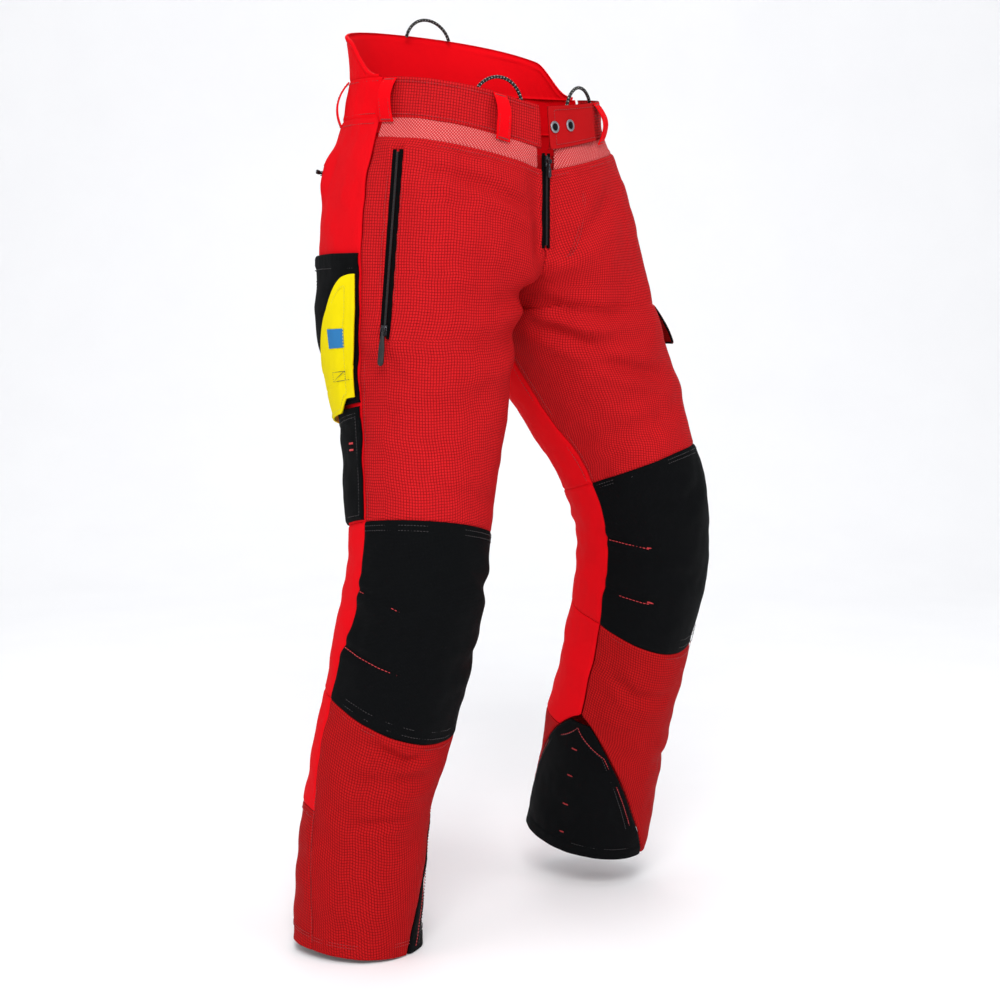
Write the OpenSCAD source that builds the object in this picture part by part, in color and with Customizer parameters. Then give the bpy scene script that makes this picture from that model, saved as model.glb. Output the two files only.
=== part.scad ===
// Forestry protective trousers with knee joints, zips, pockets and a raised kidney guard.
// Millimetres. The origin is the centre of the waist opening, +Z is up, -Y is the front and
// +X is the wearer's left. Each leg is a fabric tube built from panels on one shared surface.

/* [Overall size] */
// Half of the garment's width at the waist
waist_half_width = 160; // [130:1:200]
// From the waist's centre to the front of the waistband
waist_front_depth = 118; // [95:1:150]
// From the waistband's top to the crotch
rise = 265; // [220:1:320]
// From the crotch down to the level of the longer leg's hem
inseam_drop = 740; // [600:5:900]
// Half of the thigh's width at the crotch
thigh_half_width = 103; // [85:1:125]

/* [Waist and guard] */
// Height of the waistband
waistband_height = 46; // [35:1:60]
// How far the front of the waistband dips
waist_dip = 12; // [0:1:16]
// Height of the kidney guard above the waistband
guard_height = 68; // [40:1:100]
// How far the guard's top edge leans outward
guard_flare = 8; // [0:0.5:20]
// How far a belt loop's middle stands off the waistband
belt_loop_gap = 9; // [6:0.5:14]
// Width of a belt loop
belt_loop_width = 18; // [12:1:25]
// Thickness of the elastic cord in the brace loops
brace_cord = 4; // [2:0.5:6]

/* [Fabric] */
// Thickness of an outer fabric panel
panel_thickness = 2; // [1:0.1:3]
// Thickness of the cut-stopping pad
pad_thickness = 5.5; // [4:0.5:9]
// Gap left between layers of fabric
layer_gap = 1.6; // [1:0.1:3]

/* [Zips] */
// Width of a zip's tape across both halves
zip_tape_width = 13; // [10:0.5:20]
// Width of the closed teeth
zip_teeth_width = 3; // [2:0.2:5]
// Distance from one tooth to the next
zip_tooth_pitch = 3; // [2:0.5:5]
// Length of a slider
slider_length = 12; // [8:0.5:16]
// Free space between a slider and what it slides over
slider_clearance = 0.4; // [0.3:0.05:0.8]
// Length of a pocket zip's pull tab
pull_length = 42; // [20:1:60]
// Length of the fly zip's pull tab
fly_pull_length = 20; // [12:1:35]

/* [Closure] */
// Diameter of a snap's cap
snap_diameter = 14; // [9:0.5:18]

/* [View] */
// Which piece to draw

/* [Hidden] */

right = -1;
left = 1;
front = 1;
back = -1;

// Scales that carry the overall sizes into the station tables
wide = waist_half_width / 160;
deep = waist_front_depth / 118;
thick = thigh_half_width / 103;

// Leg stations from the crotch to the hem: centre x and y, fraction of the drop, half width,
// half depth, squareness, side seam angle and inseam angle
right_leg = [
    [-104, -10, 0, 103, 121, 2.5, 7, 186], [-114, -35, 0.18, 88, 98, 2.3, -4, 180],
    [-140, -58, 0.33, 79, 83, 2.1, -4, 178], [-156, -64, 0.45, 78, 83, 2, -6, 178],
    [-172, -46, 0.595, 76, 82, 2, -14, 184], [-188, -16, 0.79, 73, 76, 2, -10, 190],
    [-196, -6, 1, 74, 76, 2, 3, 194]];
left_leg = [
    [104, -30, 0, 103, 121, 2.5, 7, 186], [161, -53, 0.15, 93, 100, 2.3, 3, 179],
    [189, -76, 0.26, 84, 88, 2.1, 1, 175], [202, -94, 0.37, 79, 84, 2, -2, 173],
    [205, -79, 0.5, 76, 82, 2, -7, 171], [210, -28, 0.72, 76, 80, 2, -11, 168],
    [214, 14, 0.93, 76, 80, 2, -6, 165]];
// Hip stations from the waist to the crotch: half width, front depth, back depth
hips = [[160, 118, 124], [168, 121, 133], [183, 125, 143], [194, 124, 145], [198, 121, 138]];
hip_drop = [0, 0.225, 0.45, 0.72, 1];
hip_squareness = 2.45;
seat_squareness = 2.1;
// Centre seams from the waist to the crotch: depth and drop
front_rise = [[-118, 0.08], [-124, 0.34], [-124, 0.57], [-108, 0.85]];
back_rise = [[124, 0], [146, 0.26], [154, 0.53], [128, 0.85]];
crotch_y = 8;
crotch_drop = 1.01;

// Where the pieces start and end down the leg, in stations: 0 at the waist and 1 at the crotch
waistband_end = waistband_height / rise * 1.12;
vent_end = waistband_end + 0.1;
knee_start = 3.1;
knee_end = 5.12;
knee_dip = 0.14;
cuff_start = 6.0;
hem = 7;
seam = 0.02;
edge = 0.004;
centre_gap = 0.6;
right_guard_apex = 5.3;
left_guard_apex = 5.85;
guard_spread = 92;

// ---- the shared surface ----

function blend4(p0, p1, p2, p3, f) = 0.5 * (2 * p1 + (p2 - p0) * f
    + (2 * p0 - 5 * p1 + 4 * p2 - p3) * f * f + (3 * p1 - p0 - 3 * p2 + p3) * f * f * f);
function at(rows, t) = let (n = len(rows), i = max(0, min(n - 2, floor(t))), f = t - i)
    blend4(i > 0 ? rows[i - 1] : 2 * rows[0] - rows[1], rows[i], rows[i + 1],
        i < n - 2 ? rows[i + 2] : 2 * rows[n - 1] - rows[n - 2], f);
function unit(v) = v / norm(v);
function power(c, n) = sign(c) * pow(abs(c), 2 / n);

function leg_row(s, t) = let (r = at(s < 0 ? right_leg : left_leg, t))
    [r[0] * wide, r[1] * deep, -rise - r[2] * inseam_drop, r[3] * thick, r[4] * thick,
        r[5], r[6], r[7]];
function leg_centre(s, t) = let (r = leg_row(s, t)) [r[0], r[1], r[2]];
function leg_down(s, t) = let (k = min(1, max(0, t)),
    d = unit(leg_centre(s, t + 0.01) - leg_centre(s, t - 0.01)))
    unit((1 - k) * [0, 0, -1] + k * d);
function ring(s, t, a) = let (r = leg_row(s, t), down = leg_down(s, t),
    side = unit([s, 0, 0] - down * (down * [s, 0, 0])), c = cross(side, down),
    ahead = c[1] > 0 ? -c : c, n = sin(a) < 0 ? seat_squareness : r[5])
    [r[0], r[1], r[2]] + r[3] * power(cos(a), n) * side + r[4] * power(sin(a), n) * ahead;
function seam_out(s, t) = leg_row(s, t)[6];
function seam_in(s, t) = leg_row(s, t)[7];

function crotch() = [0, crotch_y * deep, -rise * crotch_drop];
function rise_line(f, k) = let (c = at(concat(f > 0 ? front_rise : back_rise,
    [[crotch_y, crotch_drop]]), k * 4)) [0, c[0] * deep, -rise * c[1]];
// The right and left legs leave the hips at slightly different places, so each hip keeps its own
function hip(s, f, k, u) = let (h = at(hips, k * 4), z = -rise * at(hip_drop, k * 4),
    first = leg_row(s, 0), ao = first[6], ai = first[7],
    a = f > 0 ? ao + (90 - ao) * u : ao - (90 + ao) * u,
    b = f > 0 ? ao + (ai - ao) * u : ao - (360 + ao - ai) * u,
    n = f > 0 ? hip_squareness : seat_squareness, depth = f > 0 ? h[1] : h[2],
    around = [s * h[0] * wide * power(cos(a), n),
        (sin(a) >= 0 ? -h[1] : -h[2]) * deep * power(abs(sin(a)), n) * (sin(a) >= 0 ? 1 : -1), z],
    leg = ring(s, 0, b), w = pow(max(0, min(1, (k - 0.15) / 0.85)), 1.3),
    mixed = (1 - w) * around + w * leg,
    last = (1 - w) * [0, -f * depth * deep, z] + w * ring(s, 0, ai),
    c = rise_line(f, k), g = u * u, p = mixed + g * (c - last))
    [p[0], p[1], z * (1 - g) + g * c[2] - dip_at(k, p)];
// The waist dips towards the front, and more on the left
function dip_at(k, p) = waist_dip * pow(1 - k, 2) * (1 + 0.6 * p[0] / waist_half_width)
    * max(0, 1 - p[1] / 130 / deep) / 2;
function skin(s, f, v, u) = v <= 1 ? hip(s, f, v, u)
    : let (t = v - 1, ao = seam_out(s, t), ai = seam_in(s, t))
        ring(s, t, f > 0 ? ao + (ai - ao) * u : ao - (360 + ao - ai) * u);
function out_of(s, f, v, u) = let (e = 0.004)
    s * f * unit(cross(skin(s, f, v, min(1, u + e)) - skin(s, f, v, max(0, u - e)),
        skin(s, f, v + e, u) - skin(s, f, v - e, u)));
function off(s, f, v, u, o) = let (p = skin(s, f, v, u) + o * out_of(s, f, max(v, 0.01), u))
    [v > 2 ? p[0] : s * max(centre_gap, s * p[0]), p[1], p[2]];
// The same, for pieces that run across a centre seam
function across(s, f, v, u, o) = let (p = skin(s, f, v, u)
    + o * (u > 0.995 ? [0, -f, 0] : out_of(s, f, max(v, 0.01), u))) [u > 0.995 ? 0 : p[0], p[1], p[2]];
function ring_out(s, t, a) = s * unit(cross(ring(s, t, a + 1) - ring(s, t, a - 1),
    ring(s, t + 0.01, a) - ring(s, t - 0.01, a)));
function ring_off(s, t, a, o) = ring(s, t, a) + o * ring_out(s, t, a);

// A closed sheet from two grids of points, rows across and columns down
module sheet(outer, inner, flip) {
    rows = len(outer) - 1;
    cols = len(outer[0]) - 1;
    all = concat([for (r = outer) for (p = r) p], [for (r = inner) for (p = r) p]);
    m = (rows + 1) * (cols + 1);
    function id(i, j) = i * (cols + 1) + j;
    function q(a, b, c, d) = [[a, b, c], [a, c, d]];
    faces = concat(
        [for (i = [0:rows - 1]) for (j = [0:cols - 1])
            for (t = q(id(i, j), id(i, j + 1), id(i + 1, j + 1), id(i + 1, j))) t],
        [for (i = [0:rows - 1]) for (j = [0:cols - 1])
            for (t = q(m + id(i, j), m + id(i, j + 1), m + id(i + 1, j + 1), m + id(i + 1, j)))
                [t[2], t[1], t[0]]],
        [for (j = [0:cols - 1]) for (t = q(id(0, j), m + id(0, j), m + id(0, j + 1), id(0, j + 1))) t],
        [for (j = [0:cols - 1]) for (t = q(id(rows, j), id(rows, j + 1), m + id(rows, j + 1),
            m + id(rows, j))) t],
        [for (i = [0:rows - 1]) for (t = q(id(i, 0), id(i + 1, 0), m + id(i + 1, 0), m + id(i, 0))) t],
        [for (i = [0:rows - 1]) for (t = q(id(i, cols), m + id(i, cols), m + id(i + 1, cols),
            id(i + 1, cols))) t]);
    polyhedron(points = all, faces = flip ? [for (t = faces) [t[2], t[1], t[0]]] : faces);
}

// A panel between two stations and two seams. The first and last rows may dip, to follow a
// curved seam, and the far edge may stop short of the inseam for the ankle guard.
function guard_apex(s) = s < 0 ? right_guard_apex : left_guard_apex;
function guard_half(s, v) = v < guard_apex(s) ? 0
    : guard_spread * pow((v - guard_apex(s)) / (hem - guard_apex(s)), 0.7);
function far_edge(s, f, v) = let (t = v - 1, span = f > 0 ? seam_in(s, t) - seam_out(s, t)
    : 360 + seam_out(s, t) - seam_in(s, t)) v <= 1 ? 1 - edge : 1 - edge - guard_half(s, v) / span;
module panel(s, f, v0, v1, rows, cols, dip0 = 0, dip1 = 0, o = 0, t = panel_thickness, u0 = edge, u1 = -1) {
    function grid(d) = [for (i = [0:rows]) [for (j = [0:cols])
        let (x = j / cols, a = v0 + dip0 * sin(180 * x), b = v1 + dip1 * sin(180 * x),
            v = a + (b - a) * i / rows, u = u0 + ((u1 < 0 ? far_edge(s, f, v) : u1) - u0) * x)
        off(s, f, v, u, d)]];
    sheet(grid(o), grid(o - t), s * f > 0);
}

// A patch given by angles around the leg
module ring_panel(s, t0, t1, a0, a1, rows, cols, o, t, bulge = 0, dip0 = 0, dip1 = 0) {
    function grid(d, b) = [for (i = [0:rows]) [for (j = [0:cols])
        let (x = j / cols, y = i / rows, lo = t0 + dip0 * x, hi = t1 + dip1 * x,
            swell = b * sin(180 * x) * sin(180 * min(1, 0.1 + 0.9 * y)))
        ring_off(s, lo + (hi - lo) * y, a0 + (a1 - a0) * x, d + swell)]];
    sheet(grid(o + t, bulge), grid(o, 0), s > 0);
}

// ---- frames for hard parts ----

module frame_at(p, x, z) {
    zz = unit(z);
    xx = unit(x - zz * (zz * x));
    yy = cross(zz, xx);
    multmatrix([[xx[0], yy[0], zz[0], p[0]], [xx[1], yy[1], zz[1], p[1]],
        [xx[2], yy[2], zz[2], p[2]], [0, 0, 0, 1]]) children();
}
// A zip lies on the straight line between two places on the surface, sunk or raised by o
function zip_ends(s, f, a, b, o) = let (p = skin(s, f, a[0], a[1]), q = skin(s, f, b[0], b[1]),
    d = unit(q - p), m = out_of(s, f, (a[0] + b[0]) / 2, (a[1] + b[1]) / 2), n = unit(m - d * (d * m)))
    [p + o * n, q + o * n, n];
thigh_zip_r = zip_ends(right, front, [0.36, 0.16], [1.28, 0.1], 4.5);
thigh_zip_l = zip_ends(left, front, [0.36, 0.13], [0.88, 0.11], 4);
hip_zip_r = zip_ends(right, back, [0.45, 0.36], [0.45, 0.8], 5);
fly_zip = [skin(right, front, 0.21, 1) + [0, 1.5, 0], [0, -119 * deep, -rise * 0.74] + [0, 1.5, 0], [0, -1, 0]];
function zip_length(z) = norm(z[1] - z[0]);
function pull_side(z) = zip_length(z) - slider_length / 2 - 3;
tape_thickness = 0.9;
teeth_height = 1.4;
plate_thickness = 1.3;
pin_height = teeth_height + slider_clearance + plate_thickness + 2.2;
pin_radius = 0.6;
slot_width = zip_tape_width + 2.4;

module zip_frame(z) {
    frame_at(z[0], z[1] - z[0], z[2]) children();
}
module slot_of(z, extra = 0) {
    zip_frame(z) translate([-2, -slot_width / 2 - extra, -14])
        cube([zip_length(z) + 4, slot_width + 2 * extra, 28]);
}
module tape(z) {
    inner = zip_teeth_width / 2 + 0.4;
    zip_frame(z) for (m = [0, 1]) mirror([0, m, 0]) translate([0, inner, -tape_thickness])
        cube([zip_length(z), zip_tape_width / 2 - inner, tape_thickness]);
}
module teeth(z) {
    w = zip_teeth_width / 2;
    n = floor((zip_length(z) - 6) / zip_tooth_pitch);
    zip_frame(z) translate([3, 0, -teeth_height]) union() {
        linear_extrude(2 * teeth_height) polygon(concat(
            [for (i = [0:n - 1]) each [[i * zip_tooth_pitch, -w], [(i + 0.5) * zip_tooth_pitch, -w],
                [(i + 0.5) * zip_tooth_pitch, -w + 0.5], [(i + 1) * zip_tooth_pitch, -w + 0.5]]],
            [for (i = [n - 1:-1:0]) each [[(i + 1) * zip_tooth_pitch, w - 0.5],
                [(i + 0.5) * zip_tooth_pitch, w - 0.5], [(i + 0.5) * zip_tooth_pitch, w],
                [i * zip_tooth_pitch, w]]]));
    }
}
// The slider straddles the teeth from above and carries a pin for its pull tab
module slider(z, x) {
    w = zip_teeth_width / 2 + slider_clearance;
    base = teeth_height + slider_clearance;
    zip_frame(z) translate([x, 0, 0]) {
        difference() {
            union() {
                translate([-slider_length / 2, -w - 1.6, slider_clearance])
                    cube([slider_length - 3, 2 * (w + 1.6), base + plate_thickness - slider_clearance]);
                translate([slider_length / 2 - 3, 0, slider_clearance])
                    cylinder(r = w + 1.6, h = base + plate_thickness - slider_clearance, $fn = 40);
            }
            translate([-slider_length, -w, -1]) cube([2 * slider_length, 2 * w, base + 1]);
        }
        for (m = [0, 1]) mirror([0, m, 0]) translate([-3, w - 0.2, base + plate_thickness - 0.01])
            cube([5, 1.3, pin_height - base - plate_thickness + 1.4]);
        translate([-0.5, 0, pin_height]) rotate([90, 0, 0])
            cylinder(r = pin_radius, h = 2 * w, center = true, $fn = 24);
    }
}
module pull(z, x, length, tab_width) {
    w = zip_teeth_width / 2 + slider_clearance;
    eye = w - 0.2 - slider_clearance;
    zip_frame(z) translate([x - 0.5, 0, pin_height]) difference() {
        union() {
            rotate([90, 0, 0]) cylinder(r = 1.9, h = 2 * eye, center = true, $fn = 32);
            translate([0, -eye, -0.7]) cube([9, 2 * eye, 1.4]);
            translate([8, -tab_width / 2, -1.1]) cube([length - 10, tab_width, 2.2]);
            translate([length - 2, 0, -1.1]) cylinder(d = tab_width, h = 2.2, $fn = 36);
        }
        rotate([90, 0, 0]) cylinder(r = pin_radius + 0.3, h = 4 * eye, center = true, $fn = 24);
    }
}

// ---- fabric panels ----

module waistband_front_r() {
    color([0.72, 0.12, 0.13]) panel(right, front, 0, waistband_end, 3, 10, t = 2.4, u1 = 0.985);
}
module waistband_front_l() {
    color([0.72, 0.12, 0.13]) panel(left, front, 0, waistband_end, 3, 10, t = 2.4, u1 = 0.985);
}
module waistband_back() {
    half = 10;
    function grid(d) = [for (i = [0:3]) [for (j = [-half:half]) let (s = j < 0 ? right : left)
        across(s, back, waistband_end * i / 3, 1 - (1 - edge) * abs(j) / half, d)]];
    color([0.85, 0.07, 0.1]) sheet(grid(0), grid(-2.4), true);
}
// The guard is highest in the middle of the back and runs down to a tip at each side
guard_first = 0.03;
guard_tip = 4;
function guard_high(u) = let (x = max(0, (u - guard_first) / (1 - guard_first)), r = min(1, x / 0.27))
    guard_tip + (guard_height - guard_tip) * pow(sin(90 * x), 0.47) * (3 * r * r - 2 * r * r * r);
module kidney_guard() {
    half = 14;
    first = guard_first;
    function grid(d) = [for (i = [0:5]) [for (j = [-half:half]) let (s = j < 0 ? right : left,
        u = 1 - (1 - first) * abs(j) / half, high = guard_high(u), k = 1 - i / 5,
        p = across(s, back, 0, u, d + guard_flare * pow(k * high / guard_height, 2)))
        [p[0], p[1], p[2] + 1.2 + k * high]]];
    color([0.88, 0.05, 0.08]) sheet(grid(0), grid(-3), true);
}
module vent_mesh_r() {
    color([0.8, 0.4, 0.4]) panel(right, front, waistband_end + 0.008, vent_end, 2, 10, o = -0.4, t = 1.2,
        u1 = 0.965);
}
module vent_mesh_l() {
    color([0.8, 0.4, 0.4]) panel(left, front, waistband_end + 0.008, vent_end, 2, 10, o = -0.4, t = 1.2,
        u1 = 0.965);
}
module front_thigh(s) {
    color([0.75, 0.13, 0.14]) difference() {
        panel(s, front, vent_end + 0.01, knee_start, 15, 10);
        slot_of(fly_zip);
        slot_of(s < 0 ? thigh_zip_r : thigh_zip_l);
    }
}
module back_leg(s) {
    color([0.87, 0.05, 0.1]) difference() {
        panel(s, back, waistband_end + 0.01, knee_start, 15, 10);
        if (s < 0) slot_of(hip_zip_r);
    }
}
module knee_patch(s) {
    color([0.07, 0.07, 0.08]) panel(s, front, knee_start + seam, knee_end, 9, 10, dip1 = knee_dip,
        o = 0.8, t = panel_thickness + 0.8);
}
module back_knee(s) {
    color([0.87, 0.05, 0.1]) panel(s, back, knee_start + seam, knee_end, 8, 8);
}
module front_shin(s) {
    color([0.67, 0.1, 0.1]) panel(s, front, knee_end + seam, hem, 9, 10, dip0 = knee_dip);
}
module back_calf(s) {
    color([0.87, 0.05, 0.1]) panel(s, back, knee_end + seam, cuff_start, 4, 8);
}
module calf_cuff(s) {
    color([0.67, 0.1, 0.1]) panel(s, back, cuff_start + seam, hem, 5, 8);
}
module ankle_guard(s) {
    margin = 0.7;
    function grid(d) = [for (i = [0:8]) [for (j = [0:10])
        let (first = guard_apex(s) + 0.08, v = first + (hem - first) * i / 8, t = v - 1,
            h = guard_half(s, v) - margin - 0.6, a = seam_in(s, t) - h + 2 * h * j / 10)
        ring_off(s, t, a, d)]];
    color([0.06, 0.06, 0.06]) sheet(grid(0.6), grid(-panel_thickness), s > 0);
}
module cut_pad(s, v0, v1, rows, u0, u1) {
    o = -panel_thickness - layer_gap;
    color([0.85, 0.85, 0.82]) panel(s, front, v0, v1, rows, 8, o = o, t = pad_thickness, u0 = u0, u1 = u1);
}

// ---- pockets ----

module first_aid_pocket_r() {
    color([0.05, 0.05, 0.06]) pocket_body(0.79, 1.84, 0.004, 0.36, 8, 6, 1.2, 2.4, 4);
}
module pocket_body(v0, v1, u0, u1, rows, cols, o, t, bulge) {
    function grid(d, b) = [for (i = [0:rows]) [for (j = [0:cols]) let (x = j / cols, y = i / rows)
        off(right, back, v0 + (v1 - v0) * y, u0 + (u1 - u0) * x,
            d + b * min(1, 3 * y, 3 * (1 - y)) * min(1, 3 * x, 3 * (1 - x)))]];
    sheet(grid(o + t, bulge), grid(o, 0), false);
}
module tool_pocket_r() {
    color([0.05, 0.05, 0.06]) pocket_body(1.88, 3.08, 0.004, 0.3, 8, 5, 1.2, 2.2, 2);
}
// The yellow flap has a slanting top, so its hinge line is level with its highest corner
flap_top = 0.87;
flap_hinge_offset = 11;
flap_from = 0.006;
module first_aid_flap_r() {
    rows = 8;
    cols = 10;
    function grid(d) = [for (i = [0:rows]) [for (j = [0:cols]) let (x = j / cols, y = i / rows,
        lo = flap_top + 0.6 * pow(sin(90 * min(1, 1.4 * x)), 2.6),
        hi = 1.78 + 0.14 * min(1, max(0, 8 * x - 0.8)))
        off(right, back, lo + (hi - lo) * y, flap_from + 0.35 * x, d)]];
    color([0.97, 0.93, 0.05]) sheet(grid(flap_hinge_offset), grid(flap_hinge_offset - 2.2), false);
}
cargo_from = -58;
cargo_to = 30;
module cargo_pocket_l() {
    color([0.05, 0.05, 0.06]) ring_panel(left, 0.12, 1.7, cargo_from + 3, cargo_to - 4, 8, 7, 1.2, 2.4, 6);
}
module cargo_flap_l() {
    color([0.6, 0.07, 0.09]) ring_panel(left, 0.06, 0.8, cargo_from, cargo_to, 4, 8, 12, 2.2);
}

// ---- loops and closure ----

// Where the belt loops sit: side, front or back, and the distance round from the side seam
loop_places = [[right, front, 0.05], [right, front, 0.76], [left, front, 0.05], [left, front, 0.56],
    [right, back, 0.4], [left, back, 0.4], [left, back, 0.97]];
module belt_loop(s, f, u) {
    rows = 8;
    h = belt_loop_width / 2 / norm(skin(s, f, 0.1, u + 0.01) - skin(s, f, 0.1, u - 0.01)) * 0.02;
    function grid(d) = [for (i = [0:rows]) [for (j = [0:2]) let (y = i / rows)
        skin(s, f, 0.006 + (waistband_end + 0.02) * y, u - h + h * j)
            + (0.5 + d + belt_loop_gap * sin(180 * y)) * out_of(s, f, 0.1, u)]];
    sheet(grid(1.6), grid(0), s * f > 0);
}
module belt_loops() {
    color([0.88, 0.1, 0.14]) for (p = loop_places) belt_loop(p[0], p[1], p[2]);
}
// An arch of elastic cord that rises from inside the waistband or the guard's top edge
module brace_loop(p, along) {
    span = 64;
    high = 24;
    r = (span * span / 4 + high * high) / (2 * high);
    a = 2 * asin(span / 2 / r);
    frame_at(p, along, cross(along, [0, 0, 1])) rotate([0, 0, 90 - a / 2])
        rotate_extrude(angle = a, $fn = 96) translate([r, 0]) circle(d = brace_cord, $fn = 24);
}
module brace_loops() {
    span = 64;
    high = 24;
    sink = (span * span / 4 + high * high) / (2 * high) - high + 4;
    tops = [[right, front, 0.77], [left, front, 0.68]];
    color([0.05, 0.05, 0.05]) {
        for (t = tops) let (p = skin(t[0], t[1], 0, t[2]), n = out_of(t[0], t[1], 0.01, t[2]),
            d = skin(t[0], t[1], 0, t[2] + 0.1) - skin(t[0], t[1], 0, t[2] - 0.1))
            brace_loop(p - 9.5 * n - [0, 0, sink], t[0] < 0 ? [d[0], d[1], d[2]] : [-d[0], -d[1], -d[2]]);
        brace_loop(skin(left, back, 0, 0.9) + [0, guard_flare - 14, guard_height - sink],
            skin(left, back, 0, 0.8) - skin(left, back, 0, 1));
    }
}
tab_start = 0.65;
tab_end = 0.995;
tab_offset = 3.6;
snap_places = [0.975, 0.885];
module closure_tab() {
    color([0.7, 0.09, 0.09]) panel(left, front, 0.004, waistband_end, 3, 6, o = tab_offset, t = 2,
        u0 = tab_start, u1 = tab_end);
}
module snap(u, from, high, d) {
    frame_at(skin(left, front, waistband_end / 2, u) + from * out_of(left, front, waistband_end / 2, u),
        [0, 0, -1], out_of(left, front, waistband_end / 2, u)) cylinder(d = d, h = high, $fn = 48);
}
module snap_caps() {
    color([0.2, 0.2, 0.22]) for (u = snap_places) snap(u, tab_offset + 0.4, 1.8, snap_diameter);
}
module snap_studs() {
    color([0.5, 0.5, 0.52]) for (u = snap_places) snap(u, 0.3, 0.8, snap_diameter * 0.6);
}
module fly_shield() {
    color([0.5, 0.08, 0.1]) zip_frame(fly_zip) translate([2, -20, -7.5])
        cube([zip_length(fly_zip) - 2, 40, 1.6]);
}

// ---- one module for each piece ----

module front_thigh_r() front_thigh(right);
module front_thigh_l() front_thigh(left);
module back_leg_r() back_leg(right);
module back_leg_l() back_leg(left);
module knee_patch_r() knee_patch(right);
module knee_patch_l() knee_patch(left);
module back_knee_r() back_knee(right);
module back_knee_l() back_knee(left);
module front_shin_r() front_shin(right);
module front_shin_l() front_shin(left);
module back_calf_r() back_calf(right);
module back_calf_l() back_calf(left);
module calf_cuff_r() calf_cuff(right);
module calf_cuff_l() calf_cuff(left);
module ankle_guard_r() ankle_guard(right);
module ankle_guard_l() ankle_guard(left);
module cut_pad_thigh_r() cut_pad(right, 1.12, knee_start - 0.02, 9, 0.2, 0.84);
module cut_pad_thigh_l() cut_pad(left, 1.12, knee_start - 0.02, 9, 0.2, 0.84);
module cut_pad_knee_r() cut_pad(right, knee_start + 0.04, knee_end - 0.04, 8, 0.12, 0.9);
module cut_pad_knee_l() cut_pad(left, knee_start + 0.04, knee_end - 0.04, 8, 0.12, 0.9);
module cut_pad_shin_r() cut_pad(right, knee_end + 0.04, 6.7, 6, 0.12, 0.5);
module cut_pad_shin_l() cut_pad(left, knee_end + 0.04, 6.7, 6, 0.12, 0.5);

fly_stop = slider_length / 2 + 4;
module fly_zip_tape() { color([0.05, 0.05, 0.05]) tape(fly_zip); }
module fly_zip_teeth() { color([0.1, 0.1, 0.1]) teeth(fly_zip); }
module fly_zip_slider() { color([0.15, 0.15, 0.16]) slider(fly_zip, fly_stop); }
module fly_zip_pull() { color([0.4, 0.4, 0.42]) pull(fly_zip, fly_stop, fly_pull_length, 5); }
module thigh_zip_tape_r() { color([0.05, 0.05, 0.05]) tape(thigh_zip_r); }
module thigh_zip_teeth_r() { color([0.1, 0.1, 0.1]) teeth(thigh_zip_r); }
module thigh_zip_slider_r() { color([0.15, 0.15, 0.16]) slider(thigh_zip_r, pull_side(thigh_zip_r)); }
module thigh_zip_pull_r() { color([0.08, 0.08, 0.08]) pull(thigh_zip_r, pull_side(thigh_zip_r), pull_length, 7); }
module thigh_zip_tape_l() { color([0.05, 0.05, 0.05]) tape(thigh_zip_l); }
module thigh_zip_teeth_l() { color([0.1, 0.1, 0.1]) teeth(thigh_zip_l); }
module thigh_zip_slider_l() { color([0.15, 0.15, 0.16]) slider(thigh_zip_l, pull_side(thigh_zip_l)); }
module thigh_zip_pull_l() { color([0.08, 0.08, 0.08]) pull(thigh_zip_l, pull_side(thigh_zip_l), 24, 6); }
module hip_zip_tape_r() { color([0.05, 0.05, 0.05]) tape(hip_zip_r); }
module hip_zip_teeth_r() { color([0.1, 0.1, 0.1]) teeth(hip_zip_r); }
module hip_zip_slider_r() {
    color([0.15, 0.15, 0.16]) slider([hip_zip_r[1], hip_zip_r[0], hip_zip_r[2]], pull_side(hip_zip_r));
}
module hip_zip_pull_r() {
    color([0.08, 0.08, 0.08]) pull([hip_zip_r[1], hip_zip_r[0], hip_zip_r[2]], pull_side(hip_zip_r), 22, 5);
}

waistband_front_r();
waistband_front_l();
waistband_back();
kidney_guard();
vent_mesh_r();
vent_mesh_l();
front_thigh_r();
front_thigh_l();
back_leg_r();
back_leg_l();
knee_patch_r();
knee_patch_l();
back_knee_r();
back_knee_l();
front_shin_r();
front_shin_l();
back_calf_r();
back_calf_l();
calf_cuff_r();
calf_cuff_l();
ankle_guard_r();
ankle_guard_l();
cut_pad_thigh_r();
cut_pad_thigh_l();
cut_pad_knee_r();
cut_pad_knee_l();
cut_pad_shin_r();
cut_pad_shin_l();
fly_shield();
fly_zip_tape();
fly_zip_teeth();
fly_zip_slider();
fly_zip_pull();
thigh_zip_tape_r();
thigh_zip_teeth_r();
thigh_zip_slider_r();
thigh_zip_pull_r();
thigh_zip_tape_l();
thigh_zip_teeth_l();
thigh_zip_slider_l();
thigh_zip_pull_l();
hip_zip_tape_r();
hip_zip_teeth_r();
hip_zip_slider_r();
hip_zip_pull_r();
first_aid_pocket_r();
first_aid_flap_r();
tool_pocket_r();
cargo_pocket_l();
cargo_flap_l();
belt_loops();
brace_loops();
closure_tab();
snap_caps();
snap_studs();
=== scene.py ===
import bpy
import math
import numpy as np
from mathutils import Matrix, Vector
from mathutils.bvhtree import BVHTree


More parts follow.
